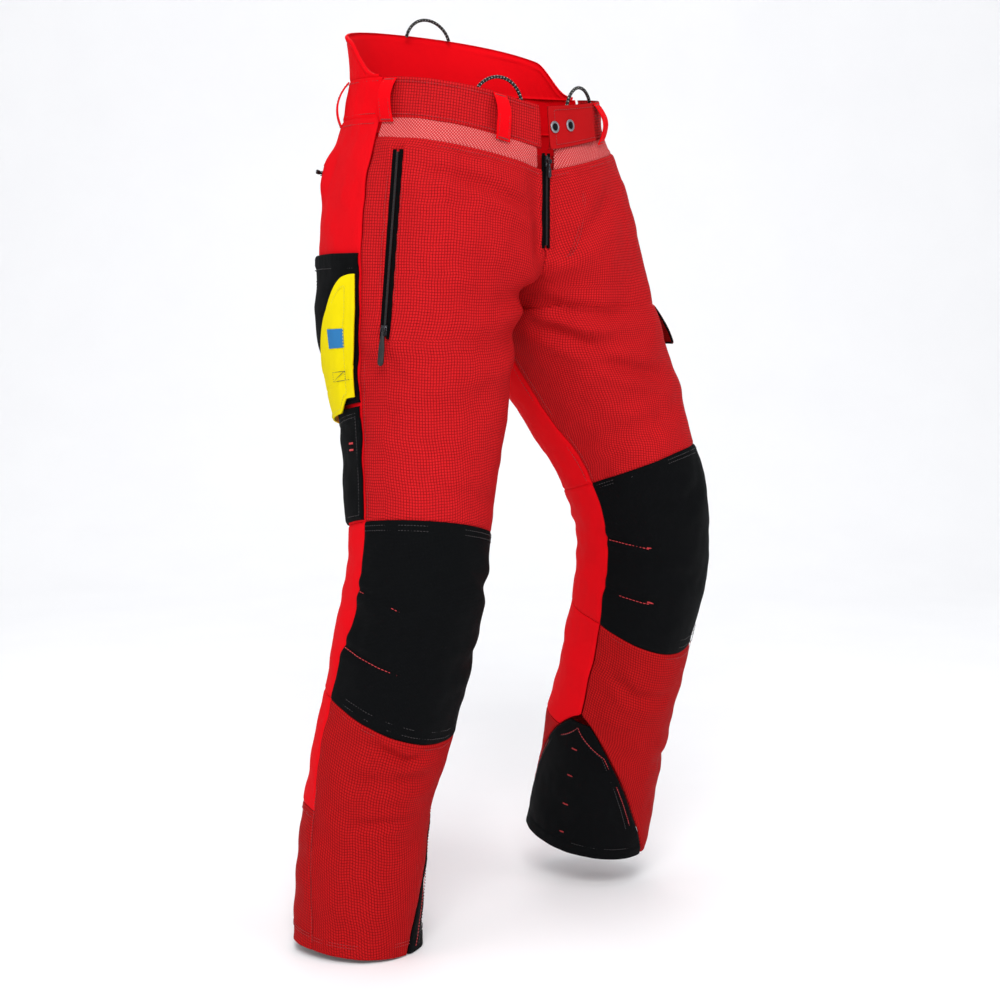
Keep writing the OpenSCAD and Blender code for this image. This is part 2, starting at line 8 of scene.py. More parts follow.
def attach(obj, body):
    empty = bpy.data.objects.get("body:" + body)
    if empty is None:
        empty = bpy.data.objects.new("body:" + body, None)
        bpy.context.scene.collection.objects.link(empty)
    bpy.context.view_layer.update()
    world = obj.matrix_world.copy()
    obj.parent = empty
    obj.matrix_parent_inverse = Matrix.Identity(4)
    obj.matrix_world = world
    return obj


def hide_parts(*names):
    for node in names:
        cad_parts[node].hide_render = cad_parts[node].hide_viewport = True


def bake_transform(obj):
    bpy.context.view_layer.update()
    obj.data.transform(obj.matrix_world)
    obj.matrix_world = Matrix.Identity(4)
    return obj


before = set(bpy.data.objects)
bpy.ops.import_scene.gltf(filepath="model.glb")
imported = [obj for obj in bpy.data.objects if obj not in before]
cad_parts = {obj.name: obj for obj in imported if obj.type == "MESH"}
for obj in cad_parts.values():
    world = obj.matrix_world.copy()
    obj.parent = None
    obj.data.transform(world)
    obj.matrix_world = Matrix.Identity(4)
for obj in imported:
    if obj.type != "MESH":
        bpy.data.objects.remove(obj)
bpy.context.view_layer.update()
MM = 0.001
FULL_TURN = 2 * math.pi
RIGHT, LEFT, FRONT, BACK = -1, 1, 1, -1

# ---------------------------------------------------------------- the shared surface (as in CAD)

# Leg rows: x and y of the middle, share of the drop, half width, half depth, squareness, and the
# angles of the side seam and the inseam. Hip rows: half width, depth in front and behind, share of
# the rise. Rise rows: y and share of the rise.
RISE, DROP = 265.0, 740.0
LEG = {
    RIGHT: [[-104, -10, 0, 103, 121, 2.5, 7, 186], [-114, -35, 0.18, 88, 98, 2.3, -4, 180],
            [-140, -58, 0.33, 79, 83, 2.1, -4, 178], [-156, -64, 0.45, 78, 83, 2, -6, 178],
            [-172, -46, 0.595, 76, 82, 2, -14, 184], [-188, -16, 0.79, 73, 76, 2, -10, 190],
            [-196, -6, 1, 74, 76, 2, 3, 194]],
    LEFT: [[104, -30, 0, 103, 121, 2.5, 7, 186], [161, -53, 0.15, 93, 100, 2.3, 3, 179],
           [189, -76, 0.26, 84, 88, 2.1, 1, 175], [202, -94, 0.37, 79, 84, 2, -2, 173],
           [205, -79, 0.5, 76, 82, 2, -7, 171], [210, -28, 0.72, 76, 80, 2, -11, 168],
           [214, 14, 0.93, 76, 80, 2, -6, 165]]}
HIPS = [[160, 118, 124, 0], [168, 121, 133, 0.225], [183, 125, 143, 0.45], [194, 124, 145, 0.72],
        [198, 121, 138, 1]]
RISE_F = [[-118, 0.08], [-124, 0.34], [-124, 0.57], [-108, 0.85], [8, 1.01]]
RISE_B = [[124, 0], [146, 0.26], [154, 0.53], [128, 0.85], [8, 1.01]]
HIP_N, SEAT_N = 2.45, 2.1
WAIST_DIP, WAIST_HALF, WAIST_DEEP = 12, 160, 130
BAND = 46 / RISE * 1.12
VENT = BAND + 0.1
KNEE0, KNEE1, KNEE_DIP, CUFF, HEM = 3.1, 5.12, 0.14, 6.0, 7.0
APEX, SPREAD = {RIGHT: 5.3, LEFT: 5.85}, 92.0
GUARD_HEIGHT, GUARD_TIP, GUARD_FLARE, GUARD_FIRST, GUARD_TUCK = 68, 4, 8, 0.03, 0.5
# Half the gap between the legs' cloth above the crotch
MIDDLE_GAP = 0.35


def spline(rows, t):
    p = np.asarray(rows, float)
    n = len(p)
    t = np.asarray(t, float)
    i = np.clip(np.floor(t).astype(int), 0, n - 2)
    f = (t - i)[..., None]
    p1, p2 = p[i], p[i + 1]
    p0 = np.where((i > 0)[..., None], p[np.maximum(i - 1, 0)], 2 * p[0] - p[1])
    p3 = np.where((i < n - 2)[..., None], p[np.minimum(i + 2, n - 1)], 2 * p[n - 1] - p[n - 2])
    return 0.5 * (2 * p1 + (p2 - p0) * f + (2 * p0 - 5 * p1 + 4 * p2 - p3) * f ** 2
                  + (3 * p1 - p0 - 3 * p2 + p3) * f ** 3)


def unit(v):
    v = np.asarray(v, float)
    return v / np.maximum(np.linalg.norm(v, axis=-1, keepdims=True), 1e-12)


def power(c, n):
    return np.sign(c) * np.abs(c) ** (2 / n)


def leg_row(s, t):
    r = spline(LEG[s], t)
    r[..., 2] = -RISE - r[..., 2] * DROP
    return r


def ring(s, t, a):
    """A point on leg s at station t (0 at the crotch) and angle a in degrees, in mm."""
    t, a = np.broadcast_arrays(np.asarray(t, float), np.asarray(a, float))
    r = leg_row(s, t)
    k = np.clip(t, 0, 1)[..., None]
    d = unit(leg_row(s, t + 0.01)[..., :3] - leg_row(s, t - 0.01)[..., :3])
    down = unit((1 - k) * np.array([0, 0, -1.0]) + k * d)
    x = np.array([s, 0, 0], float)
    side = unit(x - down * (down @ x)[..., None])
    ahead = np.cross(side, down)
    ahead = np.where(ahead[..., 1:2] > 0, -ahead, ahead)
    a = np.radians(a)
    n = np.where(np.sin(a) < 0, SEAT_N, r[..., 5])
    return (r[..., :3] + (r[..., 3] * power(np.cos(a), n))[..., None] * side
            + (r[..., 4] * power(np.sin(a), n))[..., None] * ahead)


def seams(s, t):
    r = leg_row(s, t)
    return r[..., 6], r[..., 7]


def rise_line(f, k):
    c = spline(RISE_F if f > 0 else RISE_B, np.asarray(k, float) * 4)
    return np.stack([0 * c[..., 0], c[..., 0], -RISE * c[..., 1]], -1)


def hip(s, f, k, u):
    h = spline(HIPS, k * 4)
    z = -RISE * h[..., 3]
    ao, ai = LEG[s][0][6], LEG[s][0][7]
    a = ao + (90 - ao) * u if f > 0 else ao - (90 + ao) * u
    b = ao + (ai - ao) * u if f > 0 else ao - (360 + ao - ai) * u
    a = np.radians(a)
    n = HIP_N if f > 0 else SEAT_N
    depth = h[..., 1] if f > 0 else h[..., 2]
    sn, cs = np.sin(a), np.cos(a)
    y = -np.where(sn >= 0, h[..., 1], h[..., 2]) * power(sn, n)
    around = np.stack([s * h[..., 0] * power(cs, n), y, z], -1)
    w = (np.clip((k - 0.15) / 0.85, 0, 1) ** 1.3)[..., None]
    mixed = (1 - w) * around + w * ring(s, 0 * u, b)
    last = ((1 - w) * np.stack([0 * z, -f * depth, z], -1) + w * ring(s, 0 * u, ai + 0 * u))
    c = rise_line(f, k)
    g = (u * u)[..., None]
    p = mixed + g * (c - last)
    dip = (WAIST_DIP * (1 - k) ** 2 * (1 + 0.6 * p[..., 0] / WAIST_HALF)
           * np.maximum(0, 1 - p[..., 1] / WAIST_DEEP) / 2)
    p[..., 2] = z * (1 - g[..., 0]) + g[..., 0] * c[..., 2] - dip
    return p


def skin(s, f, v, u):
    """A point on the garment: v 0 at the waist, 1 at the crotch, 7 at the hem; u 0 at the side seam."""
    v, u = np.broadcast_arrays(np.asarray(v, float), np.asarray(u, float))
    hi = hip(s, f, np.clip(v, 0, 1), u)
    t = np.maximum(v - 1, 0)
    ao, ai = seams(s, t)
    a = ao + (ai - ao) * u if f > 0 else ao - (360 + ao - ai) * u
    return np.where((v <= 1)[..., None], hi, ring(s, t, a))


def out_of(s, f, v, u):
    v, u = np.broadcast_arrays(np.asarray(v, float), np.asarray(u, float))
    e = 0.004
    v = np.maximum(v, 0.01)
    return s * f * unit(np.cross(skin(s, f, v, np.minimum(1, u + e)) - skin(s, f, v, np.maximum(0, u - e)),
                                 skin(s, f, v + e, u) - skin(s, f, v - e, u)))


def leg_normal(s, t, a):
    """The outward direction on leg s at station t and angle a."""
    e = 0.6
    return s * unit(np.cross(ring(s, t, a + e) - ring(s, t, a - e),
                             ring(s, t + 0.01, a) - ring(s, t - 0.01, a)))


# ---------------------------------------------------------------- folds, zips and mesh building

def zip_ends(s, f, a, b, o):
    p, q = skin(s, f, a[0], a[1]), skin(s, f, b[0], b[1])
    d = unit(q - p)
    m = out_of(s, f, (a[0] + b[0]) / 2, (a[1] + b[1]) / 2)
    n = unit(m - d * (d @ m))
    return [p + o * n, q + o * n, n]


ZIP_THIGH_R = zip_ends(RIGHT, FRONT, [0.36, 0.16], [1.28, 0.1], 4.5)
ZIP_THIGH_L = zip_ends(LEFT, FRONT, [0.36, 0.13], [0.88, 0.11], 4)
ZIP_HIP_R = zip_ends(RIGHT, BACK, [0.45, 0.36], [0.45, 0.8], 5)
ZIP_FLY = [skin(RIGHT, FRONT, 0.21, 1.0) + [0, 1.5, 0], np.array([0, -117.5, -RISE * 0.74]),
           np.array([0, -1.0, 0])]
ZIPS = [ZIP_THIGH_R, ZIP_THIGH_L, ZIP_HIP_R, ZIP_FLY]


def zip_axes(z):
    zz = unit(z[2])
    d = z[1] - z[0]
    xx = unit(d - zz * (zz @ d))
    return xx, np.cross(zz, xx), zz, float(np.linalg.norm(d))


def smooth(x):
    x = np.clip(x, 0, 1)
    return x * x * (3 - 2 * x)


# Waves of relief: length and height in mm, and how many
rng = np.random.default_rng(11)
WAVES = [(unit(rng.normal(size=3)) * (1 / lam), rng.uniform(0, 6.28), amp)
         for lam, amp, count in ((44, 1.0, 10), (20, 0.42, 12), (9, 0.16, 10)) for _ in range(count)]


def rumple(p):
    """Small uneven relief that carries on across seams, in mm."""
    h = np.zeros(p.shape[:-1])
    for w, ph, amp in WAVES:
        h += amp * 0.42 * np.sin(math.pi * (p @ w) + ph)
    return h


FOLD_DEPTH = 1.5
# Folds: side, face, places (v, u) along the fold, width and height in mm. A negative height is a valley
# with a soft ridge each side of it.
CREASES = [
    (RIGHT, FRONT, [(0.44, 0.2), (0.45, 0.35), (0.47, 0.56), (0.52, 0.75), (0.55, 0.92)], 8, -3.0),
    (RIGHT, FRONT, [(0.6, 0.5), (0.65, 0.8), (0.74, 0.96)], 11, -2.2),
    (RIGHT, FRONT, [(1.0, 0.45), (0.92, 0.7), (0.86, 0.95)], 12, -3.0),
    (RIGHT, FRONT, [(1.5, 0.3), (1.3, 0.6), (1.1, 0.9)], 16, -3.0),
    (RIGHT, FRONT, [(2.1, 0.25), (1.9, 0.5), (1.6, 0.85)], 17, -2.4),
    (RIGHT, FRONT, [(2.75, 0.3), (2.85, 0.55), (2.7, 0.85)], 12, -2.2),
    (LEFT, FRONT, [(0.93, 0.9), (1.02, 0.72), (1.08, 0.55), (1.16, 0.28)], 9, -3.8),
    (LEFT, FRONT, [(1.12, 0.9), (1.2, 0.8), (1.33, 0.7), (1.46, 0.55)], 10, -3.8),
    (LEFT, FRONT, [(1.45, 0.72), (1.6, 0.62), (1.8, 0.52), (2.1, 0.44)], 9, -3.6),
    (LEFT, FRONT, [(0.5, 0.5), (0.6, 0.72), (0.7, 0.93)], 12, -2.4),
    (LEFT, FRONT, [(2.5, 0.35), (2.6, 0.6), (2.4, 0.85)], 13, -2.4),
    (RIGHT, FRONT, [(3.5, 0.5), (3.75, 0.7), (3.8, 0.92)], 11, -2.2),
    (RIGHT, FRONT, [(4.6, 0.45), (4.5, 0.7), (4.3, 0.93)], 12, -2.6),
    (LEFT, FRONT, [(3.5, 0.35), (3.75, 0.55), (3.85, 0.8)], 11, -2.2),
    (LEFT, FRONT, [(4.7, 0.3), (4.55, 0.6), (4.4, 0.85)], 12, -2.2),
    (RIGHT, FRONT, [(5.32, 0.22), (5.37, 0.33), (5.41, 0.4), (5.36, 0.52)], 6, -3.6),
    (RIGHT, FRONT, [(5.66, 0.15), (5.6, 0.4), (5.5, 0.65)], 10, -2.4),
    (RIGHT, FRONT, [(6.0, 0.2), (5.94, 0.36), (5.88, 0.58)], 6, -2.2),
    (LEFT, FRONT, [(5.45, 0.9), (5.6, 0.75), (5.62, 0.5)], 9, -2.6),
    (LEFT, FRONT, [(6.1, 0.6), (6.2, 0.4), (6.1, 0.15)], 12, -2.0),
    (RIGHT, BACK, [(0.98, 0.9), (1.06, 0.6), (1.02, 0.4)], 12, -3.6),
    (LEFT, BACK, [(0.98, 0.9), (1.08, 0.6), (1.0, 0.35)], 12, -3.6),
    (RIGHT, BACK, [(3.3, 0.25), (3.45, 0.5), (3.3, 0.8)], 9, -4.0),
    (RIGHT, BACK, [(3.9, 0.15), (3.75, 0.5), (3.95, 0.85)], 9, -4.4),
    (RIGHT, BACK, [(4.35, 0.2), (4.25, 0.5), (4.5, 0.8)], 10, -3.4),
    (LEFT, BACK, [(3.2, 0.2), (3.4, 0.5), (3.3, 0.85)], 9, -4.0),
    (LEFT, BACK, [(3.8, 0.15), (3.7, 0.5), (3.9, 0.9)], 9, -4.4),
    (LEFT, BACK, [(4.4, 0.25), (4.25, 0.5), (4.45, 0.85)], 10, -3.4),
    (RIGHT, BACK, [(5.5, 0.2), (5.4, 0.5), (5.55, 0.8)], 11, -2.4),
    (LEFT, BACK, [(5.5, 0.2), (5.4, 0.5), (5.55, 0.8)], 11, -2.4)]
FOLDS = []
for s, f, places, width, high in CREASES:
    v, u = np.array(places, float).T
    FOLDS.append((skin(s, f, v, u), out_of(s, f, v, u).mean(0), width, high))


def folds(p, n):
    """Ridges and valleys of worn cloth, in mm."""
    h = np.zeros(p.shape[:-1])
    for line, facing, width, high in FOLDS:
        best, share = np.full(h.shape, 1e9), np.zeros(h.shape)
        steps = len(line) - 1
        for i in range(steps):
            a, ab = line[i], line[i + 1] - line[i]
            k = np.clip(((p - a) @ ab) / (ab @ ab), 0, 1)
            d = np.linalg.norm(p - (a + k[..., None] * ab), axis=-1)
            share = np.where(d < best, (i + k) / steps, share)
            best = np.minimum(best, d)
        ends = smooth(share * 3.2) * smooth((1 - share) * 3.2)
        look = np.clip((n @ unit(facing)) * 3, 0, 1)
        x = best / width
        h += FOLD_DEPTH * high * ends * look * (np.exp(-x * x) - 0.5 * np.exp(-((x - 1.75) ** 2) * 1.2))
    return h


def near_zips(p, o):
    """Draws a panel onto the zips that are sewn into it. Returns the moved points."""
    edge = 9.5
    for z in ZIPS:
        xx, yy, zz, length = zip_axes(z)
        q = p - z[0]
        x, y, h = q @ xx, q @ yy, q @ zz
        along = smooth((x + 26) / 24) * smooth((length + 26 - x) / 24)
        w = along * (1 - smooth((np.abs(y) - 9) / 34)) * (np.abs(h) < 45)
        inside = (x > -3) & (x < length + 3)
        lip = np.where(inside, 1.5 * np.exp(-((np.abs(y) - edge) / 2.6) ** 2)
                       - 2.3 * (1 - smooth((np.abs(y) - 6.4) / 1.4)), 0)
        target = 0.4 + o + lip
        p = p + ((target - h) * w)[..., None] * zz
    return p


def dress(s, f, v, u, o):
    """The worn surface: base, folds and zips, with an offset in mm."""
    b = skin(s, f, v, u)
    n = out_of(s, f, v, u)
    o = np.asarray(o, float)
    p = b + n * (rumple(b) + folds(b, n) + o)[..., None]
    p = near_zips(p, o)
    side = s * np.maximum(MIDDLE_GAP, s * p[..., 0])
    p[..., 0] = np.where(v <= 2, side, p[..., 0])
    return p


def make_mesh(name, verts, faces, uv=None, materials=(), mat_index=None, smooth_shade=True):
    """A mesh from mm points and quads or triangles."""
    me = bpy.data.meshes.new(name)
    verts = np.asarray(verts, float) * MM
    me.vertices.add(len(verts))
    me.vertices.foreach_set("co", verts.astype(np.float32).ravel())
    if isinstance(faces, np.ndarray):
        n, k = faces.shape
        flat, starts = faces.astype(np.int32).ravel(), np.arange(0, n * k, k, dtype=np.int32)
    else:
        flat = np.array([i for fc in faces for i in fc], np.int32)
        counts = np.array([len(fc) for fc in faces])
        starts = np.concatenate([[0], np.cumsum(counts)[:-1]]).astype(np.int32)
    me.loops.add(len(flat))
    me.loops.foreach_set("vertex_index", flat)
    me.polygons.add(len(starts))
    me.polygons.foreach_set("loop_start", starts)
    me.update(calc_edges=True)
    if uv is not None:
        layer = me.uv_layers.new(name="cloth")
        layer.data.foreach_set("uv", np.asarray(uv, np.float32)[flat].ravel())
    for m in materials:
        me.materials.append(m)
    if mat_index is not None:
        me.polygons.foreach_set("material_index", np.asarray(mat_index, np.int32))
    me.polygons.foreach_set("use_smooth", [smooth_shade] * len(me.polygons))
    me.validate()
    ob = bpy.data.objects.new(name, me)
    bpy.context.scene.collection.objects.link(ob)
    return ob


def shell_faces(rows, cols, flip):
    """Quads of a closed sheet: outer grid first, inner grid second."""
    m = (rows + 1) * (cols + 1)
    idx = np.arange(m).reshape(rows + 1, cols + 1)
    a, b, c, d = idx[:-1, :-1], idx[:-1, 1:], idx[1:, 1:], idx[1:, :-1]
    outer = np.stack([a, b, c, d], -1).reshape(-1, 4)
    inner = outer[:, ::-1] + m
    top = np.stack([idx[0, :-1], idx[0, :-1] + m, idx[0, 1:] + m, idx[0, 1:]], -1)
    bot = np.stack([idx[-1, :-1], idx[-1, 1:], idx[-1, 1:] + m, idx[-1, :-1] + m], -1)
    lef = np.stack([idx[:-1, 0], idx[1:, 0], idx[1:, 0] + m, idx[:-1, 0] + m], -1)
    rig = np.stack([idx[:-1, -1], idx[:-1, -1] + m, idx[1:, -1] + m, idx[1:, -1]], -1)
    q = np.concatenate([outer, inner, top, bot, lef, rig])
    return q if flip else q[:, ::-1]


def lengths(grid, axis):
    """Distance along a grid of points, from its first row or column, and the total."""
    d = np.linalg.norm(np.diff(grid, axis=axis), axis=-1)
    z = np.zeros_like(np.take(d, [0], axis=axis))
    return np.concatenate([z, np.cumsum(d, axis=axis)], axis=axis)


def spaced(total, step, edges=(0.5, 1.2, 2.2, 3.6)):
    """Positions 0 to 1 across a panel of this length, closer together at its edges."""
    n = max(2, int(round((total - 2 * edges[-1]) / step)))
    mid = np.linspace(edges[-1], total - edges[-1], n + 1)
    x = np.concatenate([[0], edges[:-1], mid, total - np.array(edges[:-1])[::-1], [total]])
    return x / total


def sheet_arrays(place, step=3.2, thick=2.0, offset=0.0, sew=(1, 1, 1, 1), flip=True, pucker=0.35,
                 swell=None, edges=(0.5, 1.2, 2.2, 3.6), dip=1.15):
    """A sewn sheet. place(x, y, o) gives points for x, y in 0..1 at an offset in mm. sew says which of
    the edges left, right, top, bottom are sewn down."""
    cy, cx = np.meshgrid(np.linspace(0, 1, 13), np.linspace(0, 1, 13), indexing="ij")
    rough = place(cx, cy, np.zeros_like(cx))
    wide, tall = lengths(rough, 1)[:, -1].max(), lengths(rough, 0)[-1].max()
    cols, rows = spaced(wide, step, edges), spaced(tall, step, edges)
    y, x = np.meshgrid(rows, cols, indexing="ij")
    base = place(x, y, np.zeros_like(x))
    lu, lv = lengths(base, 1), lengths(base, 0)
    eu, ev = lu[:, -1:] - lu, lv[-1:, :] - lv
    o = np.full_like(x, float(offset))
    for on, d, along in ((sew[0], lu, lv), (sew[1], eu, lv), (sew[2], lv, lu), (sew[3], ev, lu)):
        if on:
            o = o - on * dip * np.exp(-(d / 1.6) ** 2)
            o = o + on * pucker * (np.sin(along * FULL_TURN / 9 + 1.3 * np.sin(along / 19))
                                   * np.exp(-d / 7.0) * (1 - np.exp(-d / 2.0)))
    if swell is not None:
        o = o + swell(x, y, lu, eu, lv, ev)
    verts = np.concatenate([place(x, y, o).reshape(-1, 3), place(x, y, o - thick).reshape(-1, 3)])
    uv = np.stack([lu, lv], -1).reshape(-1, 2)
    return verts, shell_faces(len(rows) - 1, len(cols) - 1, flip), np.concatenate([uv, uv])


def joined(parts):
    """Several (verts, faces, uv) as one."""
    v, f, t, n = [], [], [], 0
    for verts, faces, uv in parts:
        v.append(verts)
        f.append(faces + n)
        t.append(uv)
        n += len(verts)
    return np.concatenate(v), np.concatenate(f), np.concatenate(t)


KNEE_ENDS = {s: [Vector(leg_row(s, np.array(t))[:3] * MM) for t in (2.1, 4.1)] for s in (RIGHT, LEFT)}


def wear(ob, where, nodes=()):
    """Ties a piece to its body. where is a body, or "knee_r" or "knee_l", for which the piece is baked where
    it stands and tied to no body.
    """
    if where in ("knee_r", "knee_l"):
        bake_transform(ob)
    else:
        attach(ob, where)
    if nodes:
        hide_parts(*nodes)
    return ob


def piece(name, parts, mat, where, nodes=()):
    v, f, t = joined(parts)
    return wear(make_mesh(name, v, f, t, [mat]), where, nodes)


# ---------------------------------------------------------------- thread, cord and hard parts

def tube(points, radius, sides=10):
    """A round tube along points in mm; radius is one number or one for each point."""
    p = np.asarray(points, float)
    n = len(p)
    r = np.broadcast_to(np.asarray(radius, float), (n,))
    tan = unit(np.gradient(p, axis=0))
    up = np.array([0.13, 0.21, 1.0])
    side = unit(np.cross(tan[0], up))
    frames = []
    for t in tan:
        side = unit(side - t * (side @ t))
        frames.append((side, np.cross(t, side)))
    a = np.linspace(0, FULL_TURN, sides, endpoint=False)
    ring_ = np.stack([np.cos(a), np.sin(a)], -1)
    v = np.concatenate([p[i] + r[i] * (ring_ @ np.stack(frames[i])) for i in range(n)])
    idx = np.arange(n * sides).reshape(n, sides)
    nxt = np.roll(idx, -1, axis=1)
    f = np.stack([idx[:-1], nxt[:-1], nxt[1:], idx[1:]], -1).reshape(-1, 4)
    along = np.concatenate([[0], np.cumsum(np.linalg.norm(np.diff(p, axis=0), axis=1))])
    uv = np.stack([np.tile(a * r.mean(), n), np.repeat(along, sides)], -1)
    first, last = np.full(sides, len(v)), np.full(sides, len(v) + 1)
    v = np.concatenate([v, [p[0], p[-1]]])
    uv = np.concatenate([uv, [[0, 0], [0, along[-1]]]])
    cap0 = np.stack([nxt[0], idx[0], first, first], -1)
    cap1 = np.stack([idx[-1], nxt[-1], last, last], -1)
    f = np.concatenate([f, cap0, cap1])
    return v, f, uv


def clean(parts):
    """Faces with a repeated corner become triangles, kept as lists."""
    v, f, t = joined(parts)
    same = f[:, 2] == f[:, 3]
    faces = [list(q) for q in f[~same]] + [list(q[:3]) for q in f[same]]
    return v, faces, t


_cap = [(-0.5, 0.35), (-0.4, 0.85), (0.0, 1.0), (0.4, 0.85), (0.5, 0.35)]


def stitches(points, normals, pitch=3.6, length=2.6, radius=0.4, lift=0.4):
    """A row of thread stitches along a line on the cloth, in mm."""
    p = np.asarray(points, float)
    n = np.asarray(normals, float)
    along = np.concatenate([[0], np.cumsum(np.linalg.norm(np.diff(p, axis=0), axis=1))])
    out = []
    sides = 6
    a = np.linspace(0, FULL_TURN, sides, endpoint=False)
    for c in np.arange(pitch / 2, along[-1] - pitch / 3, pitch):
        def at(d):
            return np.array([np.interp(d, along, p[:, i]) for i in range(3)])
        m = unit(np.array([np.interp(c, along, n[:, i]) for i in range(3)]))
        x = unit(at(c + length / 2) - at(c - length / 2))
        z = unit(m - x * (x @ m))
        y = np.cross(z, x)
        mid = at(c)
        v = np.concatenate([mid + x * k * length + z * (lift + radius * (0.6 - 4.0 * k * k)) +
                            r * radius * (np.outer(np.cos(a), y) + np.outer(np.sin(a), z)) for k, r in _cap])
        idx = np.arange(5 * sides).reshape(5, sides)
        nx = np.roll(idx, -1, axis=1)
        f = np.stack([idx[:-1], nx[:-1], nx[1:], idx[1:]], -1).reshape(-1, 4)
        caps = np.array([[0, 5, 4, 3], [3, 2, 1, 0], [24, 25, 26, 27], [27, 28, 29, 24]])
        out.append((v, np.concatenate([f, caps]), np.zeros((len(v), 2))))
    return out


def line_on(s, f, vs, us, o=0.2, n=60):
    """Points and normals along a line on the worn cloth, through (v, u) places."""
    k = np.linspace(0, 1, n)
    q = np.linspace(0, 1, len(vs))
    v, u = np.interp(k, q, vs), np.interp(k, q, us)
    return dress(s, f, v, u, np.full(n, float(o))), out_of(s, f, v, u)


def plate(outline, low, high, bevel=0.35):
    """A flat plate with rounded edges from a closed outline, in local mm: (verts, faces)."""
    o = np.asarray(outline, float)
    n = len(o)
    c = o.mean(axis=0)
    rings = []
    for h, k in ((low, bevel), (low + bevel * 0.4, bevel * 0.3), (low + bevel, 0), (high - bevel, 0),
                 (high - bevel * 0.4, bevel * 0.3), (high, bevel)):
        d = o - c
        r = np.linalg.norm(d, axis=1, keepdims=True)
        q = c + d * (1 - k / np.maximum(r, 1e-6))
        rings.append(np.column_stack([q, np.full(n, h)]))
    v = np.concatenate(rings)
    idx = np.arange(6 * n).reshape(6, n)
    nx = np.roll(idx, -1, axis=1)
    f = [list(t) for t in np.stack([idx[:-1], nx[:-1], nx[1:], idx[1:]], -1).reshape(-1, 4)]
    return v, f + [list(idx[0][::-1]), list(idx[-1])]


def lists(parts):
    v, f, n = [], [], 0
    for verts, faces in parts:
        v.append(np.asarray(verts, float))
        f += [[int(i) + n for i in fc] for fc in faces]
        n += len(verts)
    return np.concatenate(v), f


def rounded(w, h, r, n=6, cx=0.0, cy=0.0):
    """Outline of a rounded rectangle about (cx, cy)."""
    out = []
    for sx, sy, a0 in ((1, 1, 0), (-1, 1, 90), (-1, -1, 180), (1, -1, 270)):
        for k in range(n + 1):
            a = math.radians(a0 + 90 * k / n)
            out.append((cx + sx * (w / 2 - r) + r * math.cos(a), cy + sy * (h / 2 - r) + r * math.sin(a)))
    return out


# ---------------------------------------------------------------- materials

def lin(rgb):
    out = [((c / 255 + 0.055) / 1.055) ** 2.4 if c > 10 else c / 255 / 12.92 for c in rgb]
    return (out[0], out[1], out[2], 1.0)


class Cloth:
    """A procedural material. Coordinates are millimetres along the cloth."""

    def __init__(self, name, uv=True):
        self.m = bpy.data.materials.new(name)
        self.m.use_nodes = True
        self.t = self.m.node_tree
        self.t.nodes.clear()
        out = self.node("OutputMaterial")
        self.b = self.node("BsdfPrincipled")
        self.t.links.new(self.b.outputs["BSDF"], out.inputs["Surface"])
        if uv:
            self.co = self.node("UVMap", uv_map="cloth").outputs["UV"]
        else:
            place = self.node("TexCoord").outputs["Object"]
            self.co = self.node("VectorMath", {0: place, "Scale": 1 / MM},
                                operation="SCALE").outputs["Vector"]
        self.x, self.y, self.z = self.node("SeparateXYZ", {0: self.co}).outputs

    def put(self, socket, value):
        if hasattr(value, "is_linked"):
            self.t.links.new(value, socket)
        else:
            socket.default_value = value

    def node(self, kind, inputs=None, **settings):
        n = self.t.nodes.new("ShaderNode" + kind)
        for k, v in settings.items():
            setattr(n, k, v)
        for k, v in (inputs or {}).items():
            self.put(n.inputs[k], v)
        return n

    def math(self, op, *values):
        return self.node("Math", dict(enumerate(values)), operation=op).outputs[0]

    def add(self, a, b):
        return self.math("ADD", a, b)

    def mul(self, a, b):
        return self.math("MULTIPLY", a, b)

    def scaled(self, a, times, plus):
        return self.math("MULTIPLY_ADD", a, times, plus)

    def wave(self, co, pitch, shift=0.0):
        """0 at the middle of each repeat and 1 at its edges."""
        return self.math("ABSOLUTE", self.scaled(self.math("FRACT", self.scaled(co, 1.0 / pitch, shift)),
                                                 2.0, -1.0))

    def sine(self, co, pitch, shift=0.0):
        return self.math("SINE", self.scaled(co, FULL_TURN / pitch, shift))

    def step(self, value, low, high):
        return self.node("MapRange", {"Value": value, "From Min": low, "From Max": high},
                         interpolation_type="SMOOTHSTEP").outputs["Result"]

    def noise(self, scale, detail=3.0, rough=0.55, distortion=0.0):
        return self.node("TexNoise", {"Vector": self.co, "Scale": scale, "Detail": detail, "Roughness": rough,
                                      "Distortion": distortion}).outputs["Fac"]

    def mix(self, fac, a, b):
        return self.node("Mix", {"Factor": fac, "A": a, "B": b}, data_type="RGBA").outputs["Result"]

    def bump(self, height, distance, strength=1.0):
        n = self.node("Bump", {"Distance": distance, "Strength": strength, "Height": height})
        self.t.links.new(n.outputs["Normal"], self.b.inputs["Normal"])

    def set(self, **kw):
        names = {"color": "Base Color", "rough": "Roughness", "metal": "Metallic", "sheen": "Sheen Weight",
                 "spec": "Specular IOR Level"}
        for k, v in kw.items():
            self.put(self.b.inputs[names[k]], v)


def toned(rgb, times, plus=0):
    return [k * times + plus for k in rgb]


